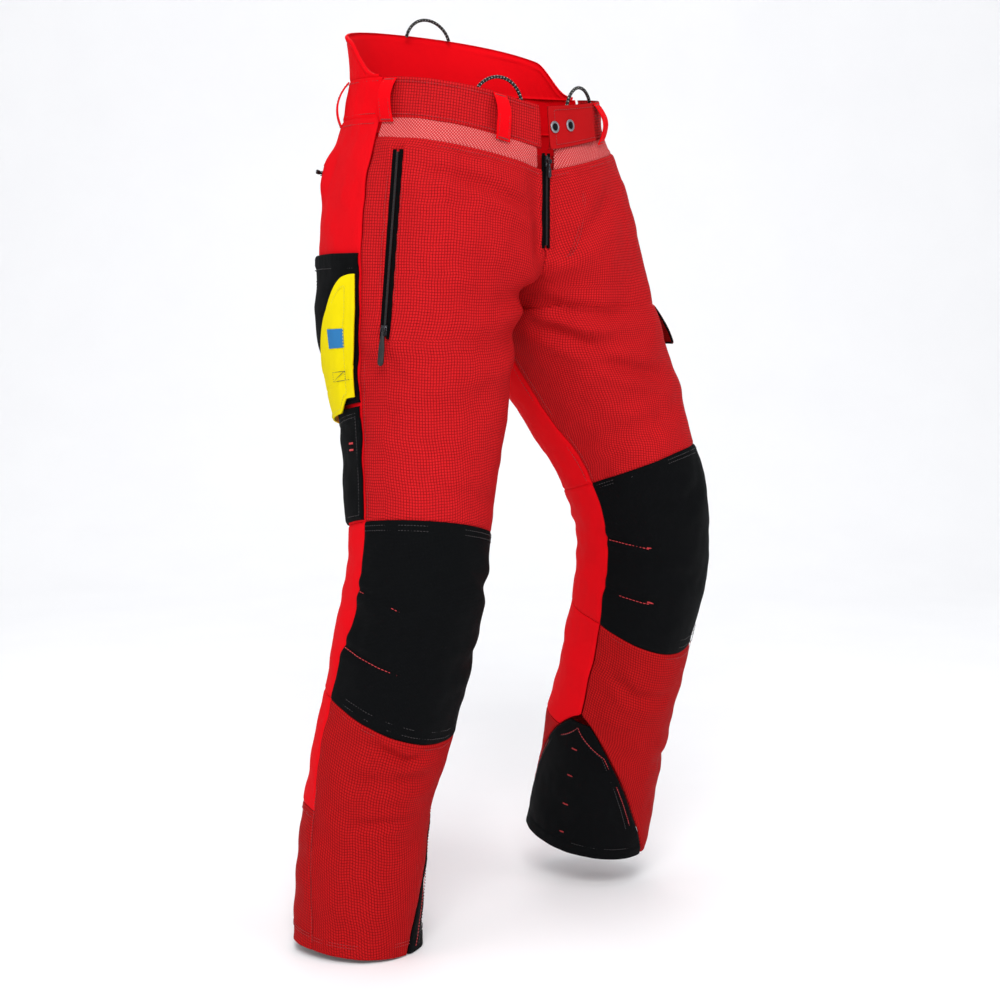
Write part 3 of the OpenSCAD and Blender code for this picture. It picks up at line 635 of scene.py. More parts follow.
def ripstop(name, base, dark, pitch=3.3, line=1.6):
    c = Cloth(name)
    gx, gy = c.wave(c.x, pitch), c.wave(c.y, pitch)
    grid = c.math("MAXIMUM", c.step(gx, 0.6, 0.95), c.step(gy, 0.66, 0.97))
    soft = c.noise(0.035, 4.0, 0.6)
    fine = c.noise(1.7, 2.0, 0.6)
    patchy = c.scaled(c.step(fine, 0.38, 0.62), 0.75, c.scaled(soft, 0.3, 0.1))
    amount = c.mul(grid, c.mul(patchy, line))
    col = c.mix(amount, lin(base), lin(dark))
    shade = c.mix(c.step(soft, 0.3, 0.75), lin(toned(base, 0.93)), lin(toned(base, 1.05)))
    c.set(color=c.mix(c.scaled(grid, -0.25, 0.35), col, shade), spec=0.03, rough=c.scaled(fine, 0.12, 0.66))
    weave = c.mul(c.sine(c.x, 0.95), c.sine(c.y, 0.95))
    h = c.add(c.mul(grid, 0.8), c.mul(weave, 0.3))
    c.bump(c.add(h, c.mul(soft, 2.0)), 0.00022, 0.8)
    return c.m


def stretch(name, base, twill=1.1, deep=0.12):
    c = Cloth(name)
    diag = c.add(c.x, c.mul(c.y, 0.8))
    rib = c.wave(diag, twill)
    soft = c.noise(0.03, 4.0, 0.6)
    fine = c.noise(2.2, 2.0, 0.65)
    fac = c.scaled(rib, deep, c.mul(fine, deep * 1.4))
    col = c.mix(fac, lin(base), lin(toned(base, 0.62)))
    col = c.mix(c.mul(c.step(soft, 0.35, 0.8), 0.16), col, lin(toned(base, 0.82)))
    c.set(color=col, spec=0.04, rough=c.scaled(fine, 0.14, 0.72))
    c.bump(c.add(rib, c.mul(fine, 0.7)), 0.00012, 0.7)
    return c.m


def cordura(name, base, light, pitch=1.5):
    c = Cloth(name)
    bump_x = c.math("ABSOLUTE", c.sine(c.x, pitch * 2))
    bump_y = c.math("ABSOLUTE", c.sine(c.y, pitch * 2, 0.8))
    weave = c.mul(bump_x, bump_y)
    soft = c.noise(0.04, 4.0, 0.6)
    fine = c.noise(1.3, 3.0, 0.7)
    fac = c.mul(c.step(weave, 0.35, 0.95), c.scaled(fine, 0.9, 0.05))
    col = c.mix(fac, lin(base), lin(light))
    col = c.mix(c.mul(c.step(soft, 0.45, 0.8), 0.25), col, lin(toned(base, 1.5, 4)))
    c.set(color=col, spec=0.07, rough=c.scaled(fine, 0.16, 0.72))
    c.bump(c.add(weave, c.mul(fine, 0.4)), 0.0003, 0.8)
    return c.m


def knit_mesh(name, base, pale, dark):
    c = Cloth(name)
    d1 = c.add(c.x, c.mul(c.y, 0.55))
    d2 = c.math("SUBTRACT", c.x, c.mul(c.y, 1.3))
    fleck = c.mul(c.step(c.wave(d1, 2.9), 0.35, 0.8), c.step(c.wave(d2, 4.4), 0.3, 0.7))
    hole = c.mul(c.step(c.wave(d1, 2.9, 0.5), 0.55, 0.85), c.step(c.wave(d2, 4.4, 0.5), 0.45, 0.8))
    fine = c.noise(1.9, 2.0, 0.6)
    col = c.mix(fleck, lin(base), lin(pale))
    col = c.mix(c.mul(hole, 0.8), col, lin(dark))
    c.set(color=col, spec=0.05, rough=c.scaled(fine, 0.1, 0.7))
    c.bump(c.math("SUBTRACT", fleck, hole), 0.0004, 0.9)
    return c.m


def thread(name, base):
    c = Cloth(name, uv=False)
    twist = c.wave(c.add(c.x, c.add(c.y, c.z)), 0.9)
    c.set(color=c.mix(c.mul(twist, 0.5), lin(base), lin(toned(base, 0.6))), spec=0.35,
          rough=c.scaled(twist, 0.2, 0.45), sheen=0.1)
    c.bump(twist, 0.0001, 0.6)
    return c.m


def braided(name, base, fleck, pitch=3.0):
    c = Cloth(name)
    a = c.add(c.x, c.mul(c.y, 0.9))
    b = c.math("SUBTRACT", c.x, c.mul(c.y, 0.9))
    braid = c.mul(c.wave(a, pitch), c.wave(b, pitch))
    spot = c.mul(c.step(c.wave(c.y, 4.2), 0.62, 0.9), c.step(c.wave(a, pitch), 0.45, 0.8))
    c.set(color=c.mix(spot, lin(base), lin(fleck)), spec=0.3, rough=c.scaled(braid, 0.2, 0.5))
    c.bump(braid, 0.0005, 0.9)
    return c.m


def metal(name, base, rough, worn):
    c = Cloth(name, uv=False)
    n = c.noise(0.9, 4.0, 0.7)
    scratch = c.noise(6.0, 2.0, 0.8, 1.0)
    edge = c.step(n, 0.55, 0.72)
    c.set(color=c.mix(edge, lin(base), lin(worn)), metal=0.9,
          rough=c.scaled(scratch, 0.25, rough - 0.1))
    c.bump(scratch, 0.00005, 0.5)
    return c.m


def moulded(name, base, rough=0.45):
    c = Cloth(name, uv=False)
    n = c.noise(1.4, 3.0, 0.6)
    c.set(color=c.mix(n, lin(toned(base, 0.8)), lin(toned(base, 1.25, 2))), spec=0.4,
          rough=c.scaled(n, 0.2, rough - 0.1))
    c.bump(n, 0.00012, 0.6)
    return c.m


M_RIP = ripstop("ripstop_red", (196, 27, 31), (72, 6, 9))
# The second ripstop is the same cloth made darker, as painted shade, for the shins, the cuffs and the left
# cargo pocket and flap
M_RIP_PAINTED_SHADE = ripstop("ripstop_shade", (180, 22, 24), (64, 5, 8))
M_STRETCH = stretch("stretch_red", (224, 10, 22))
M_GUARD = stretch("guard_red", (228, 5, 18), 0.8, 0.06)
M_TAB = stretch("tab_red", (184, 18, 22), 1.0, 0.16)
M_BLACK = cordura("abrasion_black", (3, 4, 5), (17, 19, 21))
M_BLACK_FINE = cordura("pocket_black", (3, 4, 5), (16, 18, 20), 1.1)
M_MESH = knit_mesh("vent_mesh", (196, 62, 62), (226, 140, 138), (140, 26, 30))
M_YELLOW = stretch("hi_vis_yellow", (232, 212, 10), 1.2, 0.06)
M_TAPE = cordura("zip_tape", (2, 2, 3), (12, 13, 14), 0.7)
M_COIL = moulded("zip_coil", (20, 20, 22), 0.38)
M_THREAD_RED = thread("thread_red", (214, 52, 58))
M_THREAD_DEEP = thread("thread_deep_red", (166, 22, 28))
M_THREAD_BLACK = thread("thread_black", (40, 34, 36))
M_THREAD_DARK = thread("thread_olive", (88, 84, 20))
M_THREAD_YELLOW = thread("thread_yellow", (226, 214, 20))
M_CORD = braided("elastic_cord", (13, 13, 15), (196, 196, 190))
M_METAL = metal("zip_metal", (52, 52, 56), 0.36, (150, 150, 156))
M_SNAP = metal("snap_metal", (150, 150, 156), 0.3, (190, 190, 196))
M_SNAP_DARK = metal("snap_centre", (16, 16, 18), 0.5, (44, 44, 48))
M_RUBBER = moulded("pull_rubber", (22, 22, 24), 0.55)
M_TAG = stretch("plain_tag", (52, 120, 176), 0.9, 0.08)
M_PAD = stretch("pad_cover", (205, 203, 196), 1.3, 0.14)


# ---------------------------------------------------------------- fabric pieces

SIDES = ((RIGHT, "r"), (LEFT, "l"))


def guard_half(s, v):
    v = np.asarray(v, float)
    return SPREAD * (np.maximum(v - APEX[s], 0) / (HEM - APEX[s])) ** 0.7


def far_edge(s, f, v, gap):
    """The inner edge of a panel, short of the inseam where the ankle guard is."""
    t = np.maximum(np.asarray(v, float) - 1, 0)
    ao, ai = seams(s, t)
    span = np.where(f > 0, ai - ao, 360 + ao - ai)
    return 1 - gap - guard_half(s, v) / span


def between(s, f, v0, v1, dip0=0.0, dip1=0.0, u0=0.0003, u1=None, gap=0.0012):
    """A place function for a panel from station v0 to v1, as the CAD panel runs."""
    def place(x, y, o):
        a = v0 + dip0 * np.sin(math.pi * x)
        b = v1 + dip1 * np.sin(math.pi * x)
        v = a + (b - a) * y
        last = far_edge(s, f, v, gap) if u1 is None else u1
        return dress(s, f, v, u0 + (last - u0) * x, o)
    return place


def sheet_piece(name, mat, where, slot, place, *sheet, **kw):
    """One sewn sheet that stands for the CAD node of its own name."""
    return piece(name, [sheet_arrays(place, *sheet, **kw)], mat, where, [name])


def panel(name, s, f, v0, v1, mat, where, slot, step=3.4, thick=2.0, offset=0.0, sew=(1, 1, 1, 1), **kw):
    extra = {k: kw.pop(k) for k in ("swell", "edges") if k in kw}
    return sheet_piece(name, mat, where, slot, between(s, f, v0, v1, **kw), step, thick, offset, sew,
                       s * f > 0,
                       **extra)


def hem_swell(height):
    """A folded hem: the cloth is doubled for the last part of its length."""
    def f(x, y, lu, eu, lv, ev):
        band = 1 - smooth((ev - height + 0.6) / 1.2)
        return 0.7 * band - 0.5 * np.exp(-((ev - height) / 0.9) ** 2)
    return f


def dart_swell(rows):
    """Darts: the cloth is drawn in along lines given as (x, y, x, y) and puffs out beside them."""
    def f(x, y, lu, eu, lv, ev):
        wide, tall = lu[:, -1:].mean(), lv[-1:, :].mean()
        h = np.zeros_like(x)
        for x0, y0, x1, y1 in rows:
            a, b = np.array([x0 * wide, y0 * tall]), np.array([x1 * wide, y1 * tall])
            px, py = x * wide, y * tall
            d = b - a
            k = np.clip(((px - a[0]) * d[0] + (py - a[1]) * d[1]) / (d @ d), 0, 1)
            r = np.hypot(px - a[0] - k * d[0], py - a[1] - k * d[1])
            fade = 1 - 0.65 * k
            h += fade * (-1.0 * np.exp(-(r / 3.4) ** 2) + 2.0 * np.exp(-((r - 11) / 8) ** 2))
        return h
    return f


# Darts in the knee patches, as places across and down the patch
DARTS = {RIGHT: [(0.0, 0.42, 0.27, 0.468), (0.0, 0.74, 0.295, 0.742)],
         LEFT: [(1.0, 0.46, 0.78, 0.5), (1.0, 0.82, 0.76, 0.805)]}
for s, q in SIDES:
    knee, shin = "knee_" + q, "shin_" + q
    panel("waistband_front_" + q, s, FRONT, 0.0, BAND, M_RIP, "trousers", "ripstop_red", thick=2.4, u0=0.002,
          u1=0.985, step=2.6, swell=lambda x, y, lu, eu, lv, ev:
          0.9 * np.exp(-(lv / 2.2) ** 2) - 0.5 * np.exp(-((lv - 4.2) / 0.8) ** 2))
    panel("vent_mesh_" + q, s, FRONT, BAND - 0.001, VENT, M_MESH, "trousers", "mesh_red", thick=1.2,
          offset=-0.4,
          u0=0.003, u1=0.965, step=2.6)
    panel("front_thigh_" + q, s, FRONT, VENT - 0.001, KNEE0, M_RIP, knee, "ripstop_red")
    panel("back_leg_" + q, s, BACK, BAND - 0.001, KNEE0, M_STRETCH, knee, "stretch_red")
    panel("knee_patch_" + q, s, FRONT, KNEE0 + 0.004, KNEE1, M_BLACK, knee, "abrasion_black", thick=2.8,
          offset=0.8,
          dip1=KNEE_DIP, step=3.0, swell=dart_swell(DARTS[s]))
    panel("back_knee_" + q, s, BACK, KNEE0 + 0.004, KNEE1, M_STRETCH, knee, "stretch_red")
    # the shin and cuff panels take the darker ripstop copy, which is painted shade
    panel("front_shin_" + q, s, FRONT, KNEE1 + 0.006, HEM, M_RIP_PAINTED_SHADE, shin, "shin_red", dip0=KNEE_DIP,
          gap=0.004,
          sew=(1, 1, 1, 0), swell=hem_swell(19))
    panel("back_calf_" + q, s, BACK, KNEE1 + 0.006, CUFF, M_STRETCH, shin, "stretch_red", gap=0.004)
    panel("calf_cuff_" + q, s, BACK, CUFF + 0.004, HEM, M_RIP_PAINTED_SHADE, shin, "shin_red", gap=0.004,
          sew=(1, 1, 1, 0),
          swell=hem_swell(19))


def guard_high(u):
    x = np.clip((np.asarray(u, float) - GUARD_FIRST) / (1 - GUARD_FIRST), 0, 1)
    return GUARD_TIP + (GUARD_HEIGHT - GUARD_TIP) * np.sin(math.pi / 2 * x) ** 0.47 * smooth(x / 0.27)


def round_back(y0, y1, first):
    """A place function right round the back, from the right side seam to the left one."""
    def place(x, y, o):
        j = 2 * x - 1
        u = 1 - (1 - first) * np.abs(j)
        v = y0 + (y1 - y0) * y
        left, right_ = dress(LEFT, BACK, v, u, o), dress(RIGHT, BACK, v, u, o)
        # the two sides meet at the centre on one point
        w = smooth(0.5 + j / 0.016)[..., None]
        return right_ * (1 - w) + left * w
    return place


sheet_piece("waistband_back", M_GUARD, "trousers", "guard_red", round_back(0, BAND, 0.003), 2.8, 2.4, 0,
            (1, 1, 1, 1), True, swell=lambda x, y, lu, eu, lv, ev: 0.9 * np.exp(-(lv / 2.2) ** 2))


def guard_place(x, y, o):
    """The kidney guard: y 0 is its free top edge and y 1 its seam on the waistband."""
    j = 2 * x - 1
    u = 1 - (1 - GUARD_FIRST) * np.abs(j)
    high = (1 - y) * guard_high(u)
    up = high / GUARD_HEIGHT
    o = o + GUARD_FLARE * up ** 2 + (1.6 * np.sin(5.2 * j + 0.6) + 0.9 * np.sin(11 * j + 2.0)) * up ** 1.5
    zero = np.zeros_like(u)
    base_l, base_r = skin(LEFT, BACK, zero, u), skin(RIGHT, BACK, zero, u)
    n_l, n_r = out_of(LEFT, BACK, zero, u), out_of(RIGHT, BACK, zero, u)
    w = smooth(0.5 + j / 0.016)[..., None]
    base, n = base_r * (1 - w) + base_l * w, unit(n_r * (1 - w) + n_l * w)
    n = unit(n * [1, 1, 0.25])
    p = base + n * o[..., None]
    p[..., 2] += high - GUARD_TUCK
    return p


def guard_swell(x, y, lu, eu, lv, ev):
    rolled = 1.0 * np.exp(-((lv - 2.6) / 2.2) ** 2) - 1.3 * np.exp(-((lv - 7.5) / 0.9) ** 2)
    edge = -1.1 * np.exp(-(lv / 0.9) ** 2)
    return (rolled + edge) * smooth(ev / 8)


sheet_piece("kidney_guard", M_GUARD, "trousers", "guard_red", guard_place, 2.8, 3.0, 0, (0.6, 0.6, 0, 1),
            True,
            swell=guard_swell, pucker=0.5)


# the ankle guards: triangles let into the inseam
def ankle_place(s):
    def place(x, y, o):
        first = APEX[s] + 0.06
        v = first + (HEM - first) * y
        t = v - 1
        h = np.maximum(guard_half(s, v) - 1.2, 0.5)
        a = seams(s, t)[1] - h + 2 * h * x
        b, n = ring(s, t, a), leg_normal(s, t, a)
        return b + n * (rumple(b) + folds(b, n) + 0.3 + np.asarray(o, float))[..., None]
    return place


for s, q in SIDES:
    sheet_piece("ankle_guard_" + q, M_BLACK, "shin_" + q, "abrasion_black", ankle_place(s), 2.6, 2.4, 0.3,
                (1, 1, 0.6, 0), s > 0, swell=hem_swell(15), edges=(0.4, 1.0, 1.8, 2.8))


# ---------------------------------------------------------------- cut-stopping pads

def quilted(x, y, lu, eu, lv, ev):
    """Layers of loose fibre held by lines of stitching every 60 mm."""
    line = np.minimum(np.abs((lu + 30) % 60 - 30), np.abs((lv + 30) % 60 - 30))
    rim = np.minimum(np.minimum(lu, eu), np.minimum(lv, ev))
    return -1.1 * np.exp(-(line / 3.5) ** 2) - 1.6 * np.exp(-(rim / 4.0) ** 2)


PADS = (("thigh", 1.12, KNEE0 - 0.02, 0.2, 0.84, "trousers"),
        ("knee", KNEE0 + 0.04, KNEE1 - 0.04, 0.12, 0.9, "knee_"),
        ("shin", KNEE1 + 0.04, 6.7, 0.12, 0.5, "shin_"))
for s, q in SIDES:
    for name, v0, v1, u0, u1, body in PADS:
        where = body if body == "trousers" else body + q
        ob = panel("cut_pad_%s_%s" % (name, q), s, FRONT, v0, v1, M_PAD, where, "cut_pad", step=6.0,
                   thick=5.0,
                   offset=-3.9, sew=(0, 0, 0, 0), u0=u0, u1=u1, swell=quilted, edges=(1.0, 2.5, 4.5, 7.0))


# ---------------------------------------------------------------- pockets and flaps

def pocket_place(v0, v1, u0, u1, base, bulge, flat=3.0):
    def place(x, y, o):
        def rise(k):
            return np.minimum(1, flat * np.minimum(k, 1 - k))
        b = bulge * smooth(rise(y) * rise(x))
        v, u = v0 + (v1 - v0) * y, u0 + (u1 - u0) * x
        return dress(RIGHT, BACK, v, u, np.asarray(o, float) + base + b)
    return place


def pocket_hem(height):
    def f(x, y, lu, eu, lv, ev):
        return 1.0 * (1 - smooth((lv - height) / 1.4)) - 0.5 * np.exp(-((lv - height) / 0.9) ** 2)
    return f


# How far the flaps stand off the leg, in mm
FLAP_STAND, CARGO_STAND = 10.8, 13.4
FIRST_AID = pocket_place(0.79, 1.84, 0.004, 0.36, 3.6, 3.8)
TOOL = pocket_place(1.88, 3.08, 0.004, 0.3, 3.4, 2.0)


sheet_piece("first_aid_pocket_r", M_BLACK_FINE, "trousers", "abrasion_black", FIRST_AID, 2.8, 2.2, 0,
            (1, 1, 1, 1), False, swell=pocket_hem(12))
sheet_piece("tool_pocket_r", M_BLACK_FINE, "knee_r", "abrasion_black", TOOL, 2.8, 2.0, 0, (1, 1, 0.3, 1),
            False,
            swell=pocket_hem(14))


def yellow_edges(x):
    """Top and bottom of the flap, as heights on the leg."""
    x = np.asarray(x, float)
    lo = 0.87 + 0.6 * np.sin(math.pi / 2 * np.minimum(1, 1.4 * x)) ** 2.6
    return lo, 1.78 + 0.14 * smooth(8 * x - 0.8)


def yellow_place(x, y, o):
    lo, hi = yellow_edges(x)
    v = lo + (hi - lo) * y
    u = 0.006 + 0.35 * x
    wave = 0.5 + 0.9 * np.sin(3.0 * y + 1.0) * y + 0.4 * np.sin(9 * y + 4 * x) * y
    b = skin(RIGHT, BACK, v, u)
    n = out_of(RIGHT, BACK, v, u)
    tuck = 3.5 * (1 - smooth(x / 0.22))
    return b + n * (FLAP_STAND - tuck + np.asarray(o, float) + wave)[..., None]


def yellow_swell(x, y, lu, eu, lv, ev):
    rim = np.minimum(np.minimum(eu, lu), np.minimum(lv, ev))
    pull = np.exp(-((lv - lv[-1:, :] + 34) / 1.4) ** 2)
    return 0.6 * (1 - smooth((rim - 7) / 1.2)) - 0.7 * np.exp(-((rim - 7) / 0.8) ** 2) - 0.9 * pull


FLAP_R = sheet_piece("first_aid_flap_r", M_YELLOW, "first_aid_flap", "hi_vis_yellow", yellow_place, 2.4, 2.2,
                     0,
                     (0, 0, 0, 0), False, swell=yellow_swell, edges=(0.4, 0.9, 1.6, 2.6))


def leg_place(s, t0, t1, a0, a1, base, bulge):
    def place(x, y, o):
        t, a = t0 + (t1 - t0) * y, a0 + (a1 - a0) * x
        b, n = ring(s, t, a), leg_normal(s, t, a)
        swell = bulge * np.sin(math.pi * x) ** 0.7 * np.sin(math.pi * np.minimum(1, 0.1 + 0.9 * y)) ** 0.7
        return b + n * (rumple(b) + base + swell + np.asarray(o, float))[..., None]
    return place


CARGO = leg_place(LEFT, 0.12, 1.7, -55, 26, 3.6, 6)
# the cargo pocket and its flap take the darker ripstop copy, which is painted shade
sheet_piece("cargo_pocket_l", M_RIP_PAINTED_SHADE, "trousers", "ripstop_red", CARGO, 3.0, 2.2, 0, (1, 1, 1, 1), True,
            swell=pocket_hem(12))


def flap_l(x, y, o):
    t, a = 0.06 + 0.74 * y, -58 + 88 * x
    b, n = ring(LEFT, t, a), leg_normal(LEFT, t, a)
    curl = 2.5 * smooth((y - 0.3) / 0.7) * (0.6 + 0.4 * np.sin(2.6 * x + 0.4)) - 3.0 * (1 - y) ** 2
    return b + n * (CARGO_STAND + curl + np.asarray(o, float))[..., None]


FLAP_L = sheet_piece("cargo_flap_l", M_RIP_PAINTED_SHADE, "cargo_flap", "ripstop_red", flap_l, 2.8, 2.2, 0,
                     (0.3, 0.3, 1, 0.3), True, swell=yellow_swell)


# ---------------------------------------------------------------- belt loops, tab, snaps and brace cords

LOOPS = [(RIGHT, FRONT, 0.05), (RIGHT, FRONT, 0.76), (LEFT, FRONT, 0.05), (LEFT, FRONT, 0.56),
         (RIGHT, BACK, 0.4), (LEFT, BACK, 0.4), (LEFT, BACK, 0.97)]


def loop_place(s, f, u):
    # half the loop's width, 9 mm, as a share of the panel
    h = 9 * 0.02 / np.linalg.norm(skin(s, f, 0.1, u + 0.01) - skin(s, f, 0.1, u - 0.01))
    lean = out_of(s, f, 0.1, u)

    def place(x, y, o):
        v = 0.006 + (BAND + 0.02) * y
        stand = 9 * np.sin(math.pi * np.clip((y - 0.03) / 0.94, 0, 1)) ** 0.8
        slack = 0.7 * np.sin(5 * y + 9 * u) * np.sin(math.pi * y)
        b = skin(s, f, v, u - h + 2 * h * x)
        return b + (0.8 + stand + slack + np.asarray(o, float))[..., None] * lean
    return place


def loop_swell(x, y, lu, eu, lv, ev):
    return (0.35 * np.exp(-((lu - 1.6) / 1.2) ** 2) + 0.35 * np.exp(-((eu - 1.6) / 1.2) ** 2)
            - 0.3 * np.exp(-((lu - lu[:, -1:] / 2) / 1.0) ** 2))


piece("belt_loops", [sheet_arrays(loop_place(s, f, u), 1.8, 1.6, 1.6, (0, 0, 0, 0), s * f > 0,
                                  swell=loop_swell,
                                  edges=(0.3, 0.8, 1.4)) for s, f, u in LOOPS],
      M_GUARD, "trousers", ["belt_loops"])


def tab_place(x, y, o):
    round_end = 1 - np.sqrt(np.clip(1 - ((2 * y - 1) ** 8), 0, 1)) * smooth((x - 0.9) / 0.1)
    u = 0.65 + 0.345 * x - 0.006 * round_end * smooth((x - 0.93) / 0.07)
    return dress_flat(LEFT, FRONT, 0.004 + (BAND - 0.004) * y, u, np.asarray(o, float) + 3.6)


def dress_flat(s, f, v, u, o):
    """The surface without folds, for pieces that have to sit in step with hard parts."""
    return skin(s, f, v, u) + out_of(s, f, v, u) * np.asarray(o, float)[..., None]


def tab_swell(x, y, lu, eu, lv, ev):
    rim = np.minimum(eu, np.minimum(lv, ev))
    return (-0.6 * np.exp(-((rim - 4) / 0.8) ** 2) + 0.2 * np.exp(-((rim - 1.6) / 1.2) ** 2)
            + 0.4 * np.sin(lu / 9.0) * np.sin(math.pi * y))


sheet_piece("closure_tab", M_TAB, "closure_tab", "tab_red", tab_place, 2.0, 2.0, 0, (0.4, 0, 0, 0), True,
            swell=tab_swell, edges=(0.4, 0.9, 1.5))


def lathe(profile, n=40):
    """A turned shape about local z from (radius, height) pairs; the first and last radius may be 0."""
    a = np.linspace(0, FULL_TURN, n, endpoint=False)
    verts, rings = [], []
    for r, h in profile:
        if r == 0:
            rings.append([len(verts)])
            verts.append((0, 0, h))
        else:
            rings.append(list(range(len(verts), len(verts) + n)))
            verts += [(r * math.cos(t), r * math.sin(t), h) for t in a]
    faces = []
    for p, q in zip(rings, rings[1:]):
        for i in range(n):
            j = (i + 1) % n
            if len(p) == 1:
                faces.append((p[0], q[i], q[j]))
            elif len(q) == 1:
                faces.append((p[i], p[j], q[0]))
            else:
                faces.append((p[i], p[j], q[j], q[i]))
    return np.array(verts, float), faces


def placed(shape, origin, xx, zz):
    """Local mm to the garment's frame: local x along xx and local z along zz."""
    v, f = shape
    zz = unit(zz)
    xx = unit(np.asarray(xx, float) - zz * (zz @ np.asarray(xx, float)))
    yy = np.cross(zz, xx)
    return origin + v @ np.stack([xx, yy, zz]), f


SNAPS = (0.975, 0.885)
cap_shape = [(0, 0.0), (6.2, 0.0), (7.0, 0.3), (7.0, 0.9), (6.7, 1.35), (6.0, 1.6), (5.0, 1.62), (4.4, 1.35),
             (3.9, 1.3), (3.4, 1.55), (2.2, 1.75), (0.9, 1.8), (0, 1.8)]
stud_shape = [(0, 0), (4.2, 0), (4.2, 0.35), (3.6, 0.45), (2.2, 0.5), (2.0, 0.8), (0, 0.8)]
for name, at0, shape, where in (("snap_caps", 4.0, cap_shape, "closure_tab"),
                                ("snap_studs", 0.3, stud_shape, "trousers")):
    turned = []
    for u in SNAPS:
        n = out_of(LEFT, FRONT, BAND / 2, u)
        turned.append(placed(lathe(shape), skin(LEFT, FRONT, BAND / 2, u) + at0 * n, [0, 0, -1], n))
    v, f = lists(turned)
    ob = make_mesh(name, v, f, None, [M_SNAP, M_SNAP_DARK])
    middles = [t[0].mean(0) for t in turned]
    for q in ob.data.polygons:
        out = min(np.linalg.norm(np.array(q.center) / MM - m) for m in middles)
        q.material_index = int(name == "snap_caps" and out < 4.6)
    wear(ob, where, [name])


ARCH_SPAN, ARCH_HIGH, ARCH_INSET = 64.0, 24.0, 9.5
ARCH_ROUND = (ARCH_SPAN ** 2 / 4 + ARCH_HIGH ** 2) / (2 * ARCH_HIGH)
SINK = ARCH_ROUND - ARCH_HIGH + 4


def brace_cord(name, p, along, sag):
    """An elastic cord loop: a low arch whose two ends go down inside the band."""
    xx = unit(along)
    yy = np.cross(np.cross(xx, [0, 0, 1.0]), xx)
    r = ARCH_ROUND
    half = math.asin(ARCH_SPAN / 2 / r)
    a = np.linspace(-half, half, 34)
    x = r * np.sin(a)
    y = r * np.cos(a) + sag[0] * np.sin(2.2 * a + 0.5)
    side = np.cross(xx, yy)
    pts = p + np.outer(x, xx) + np.outer(y, yy) + np.outer(sag[1] * np.cos(a * 1.5) - sag[1], side)
    v, f, t = clean([tube(pts, 2.0, 14)])
    ob = make_mesh(name, v, f, t, [M_CORD])
    wear(ob, "trousers", ["brace_loops"])


for name, s, u, sag in (("brace_cord_front_r", RIGHT, 0.77, (1.4, -2.0)),
                        ("brace_cord_front_l", LEFT, 0.68, (-1.0, 1.5))):
    d = (skin(s, FRONT, 0.0, u + 0.1) - skin(s, FRONT, 0.0, u - 0.1)) * -s
    brace_cord(name, skin(s, FRONT, 0.0, u) - ARCH_INSET * out_of(s, FRONT, 0.01, u) - [0, 0, SINK], d, sag)
brace_cord("brace_cord_back", skin(LEFT, BACK, 0.0, 0.9) + [0, GUARD_FLARE - 14, GUARD_HEIGHT - SINK],
           skin(LEFT, BACK, 0.0, 0.8) - skin(LEFT, BACK, 0.0, 1.0), (-1.2, 0.0))


# ---------------------------------------------------------------- zips

TEETH, GAP, PLATE = 1.4, 0.4, 1.3
TOP = TEETH + GAP + PLATE
PIN = TOP + 2.2


def zip_tape(z):
    """Two woven tapes with a raised selvedge, dipping a little along their length."""
    length = zip_axes(z)[3]
    parts = []
    for m in (1, -1):
        def place(x, y, o, m=m):
            across = 1.9 + (6.5 - 1.9) * x
            wave = 0.12 * np.sin(y * length / 6.0 + m) * x
            return on_zip(z, y * length, m * across, np.asarray(o, float) + wave)
        parts.append(sheet_arrays(place, 1.6, 0.9, -0.02, (0, 0.2, 0, 0), m < 0,
                                  swell=lambda x, y, lu, eu, lv,
                                  ev: -0.16 * np.exp(-((eu - 1.1) / 0.35) ** 2),
                                  edges=(0.25, 0.6, 1.0)))
    return parts


def on_zip(z, x, y, h):
    xx, yy, zz, _ = zip_axes(z)
    x, y, h = np.broadcast_arrays(x, y, h)
    return z[0] + x[..., None] * xx + y[..., None] * yy + h[..., None] * zz


def coil(z, first, last):
    """The closed coil of a zip: a row of small chevrons, one for each turn of the coil."""
    out = []
    outline = np.array([(-0.95, -1.45), (-0.1, -1.5), (0.55, -0.7), (0.85, 0.0), (0.55, 0.7), (-0.1, 1.5),
                        (-0.95, 1.45), (-0.35, 0.6), (-0.1, 0.0), (-0.35, -0.6)])
    for x in np.arange(first, last, 1.5):
        v, f = plate(outline * [1.0, 0.95] + [x, 0], -1.3, 1.3, 0.22)
        out.append((from_zip(z, v), f))
    return out


def from_zip(z, v):
    xx, yy, zz, _ = zip_axes(z)
    return z[0] + v @ np.stack([xx, yy, zz])


def zip_slider(z, x):
    """A tent-shaped slider with a crown that holds the pull's pin."""
    w = 1.5 + GAP
    body = []
    for y0, y1 in ((w, w + 1.6), (-w - 1.6, -w)):
        wall = rounded(11.4, y1 - y0, 0.5, 4, x - 0.1, (y0 + y1) / 2)
        body.append(plate(wall, GAP, TOP - 0.15, 0.2))
    nose = [(x + 6 * math.cos(a) * 0.99 - 0.1, 3.45 * math.sin(a) * (1 - 0.18 * math.cos(a))) for a in
            np.linspace(0, FULL_TURN, 36, endpoint=False)]
    body.append(plate(nose, TEETH + GAP, TOP, 0.45))
    for m in (1, -1):
        post = rounded(4.6, 1.25, 0.45, 4, x - 0.6, m * (w + 0.42))
        body.append(plate(post, TOP - 0.1, PIN + 1.3, 0.3))
    v, f = lists(body)
    pin_v, pin_f, _ = clean([tube([[x - 0.5, y, PIN] for y in (-w - 0.2, 0, w + 0.2)], 0.58, 14)])
    return lists([(from_zip(z, v), f), (from_zip(z, pin_v), pin_f)])


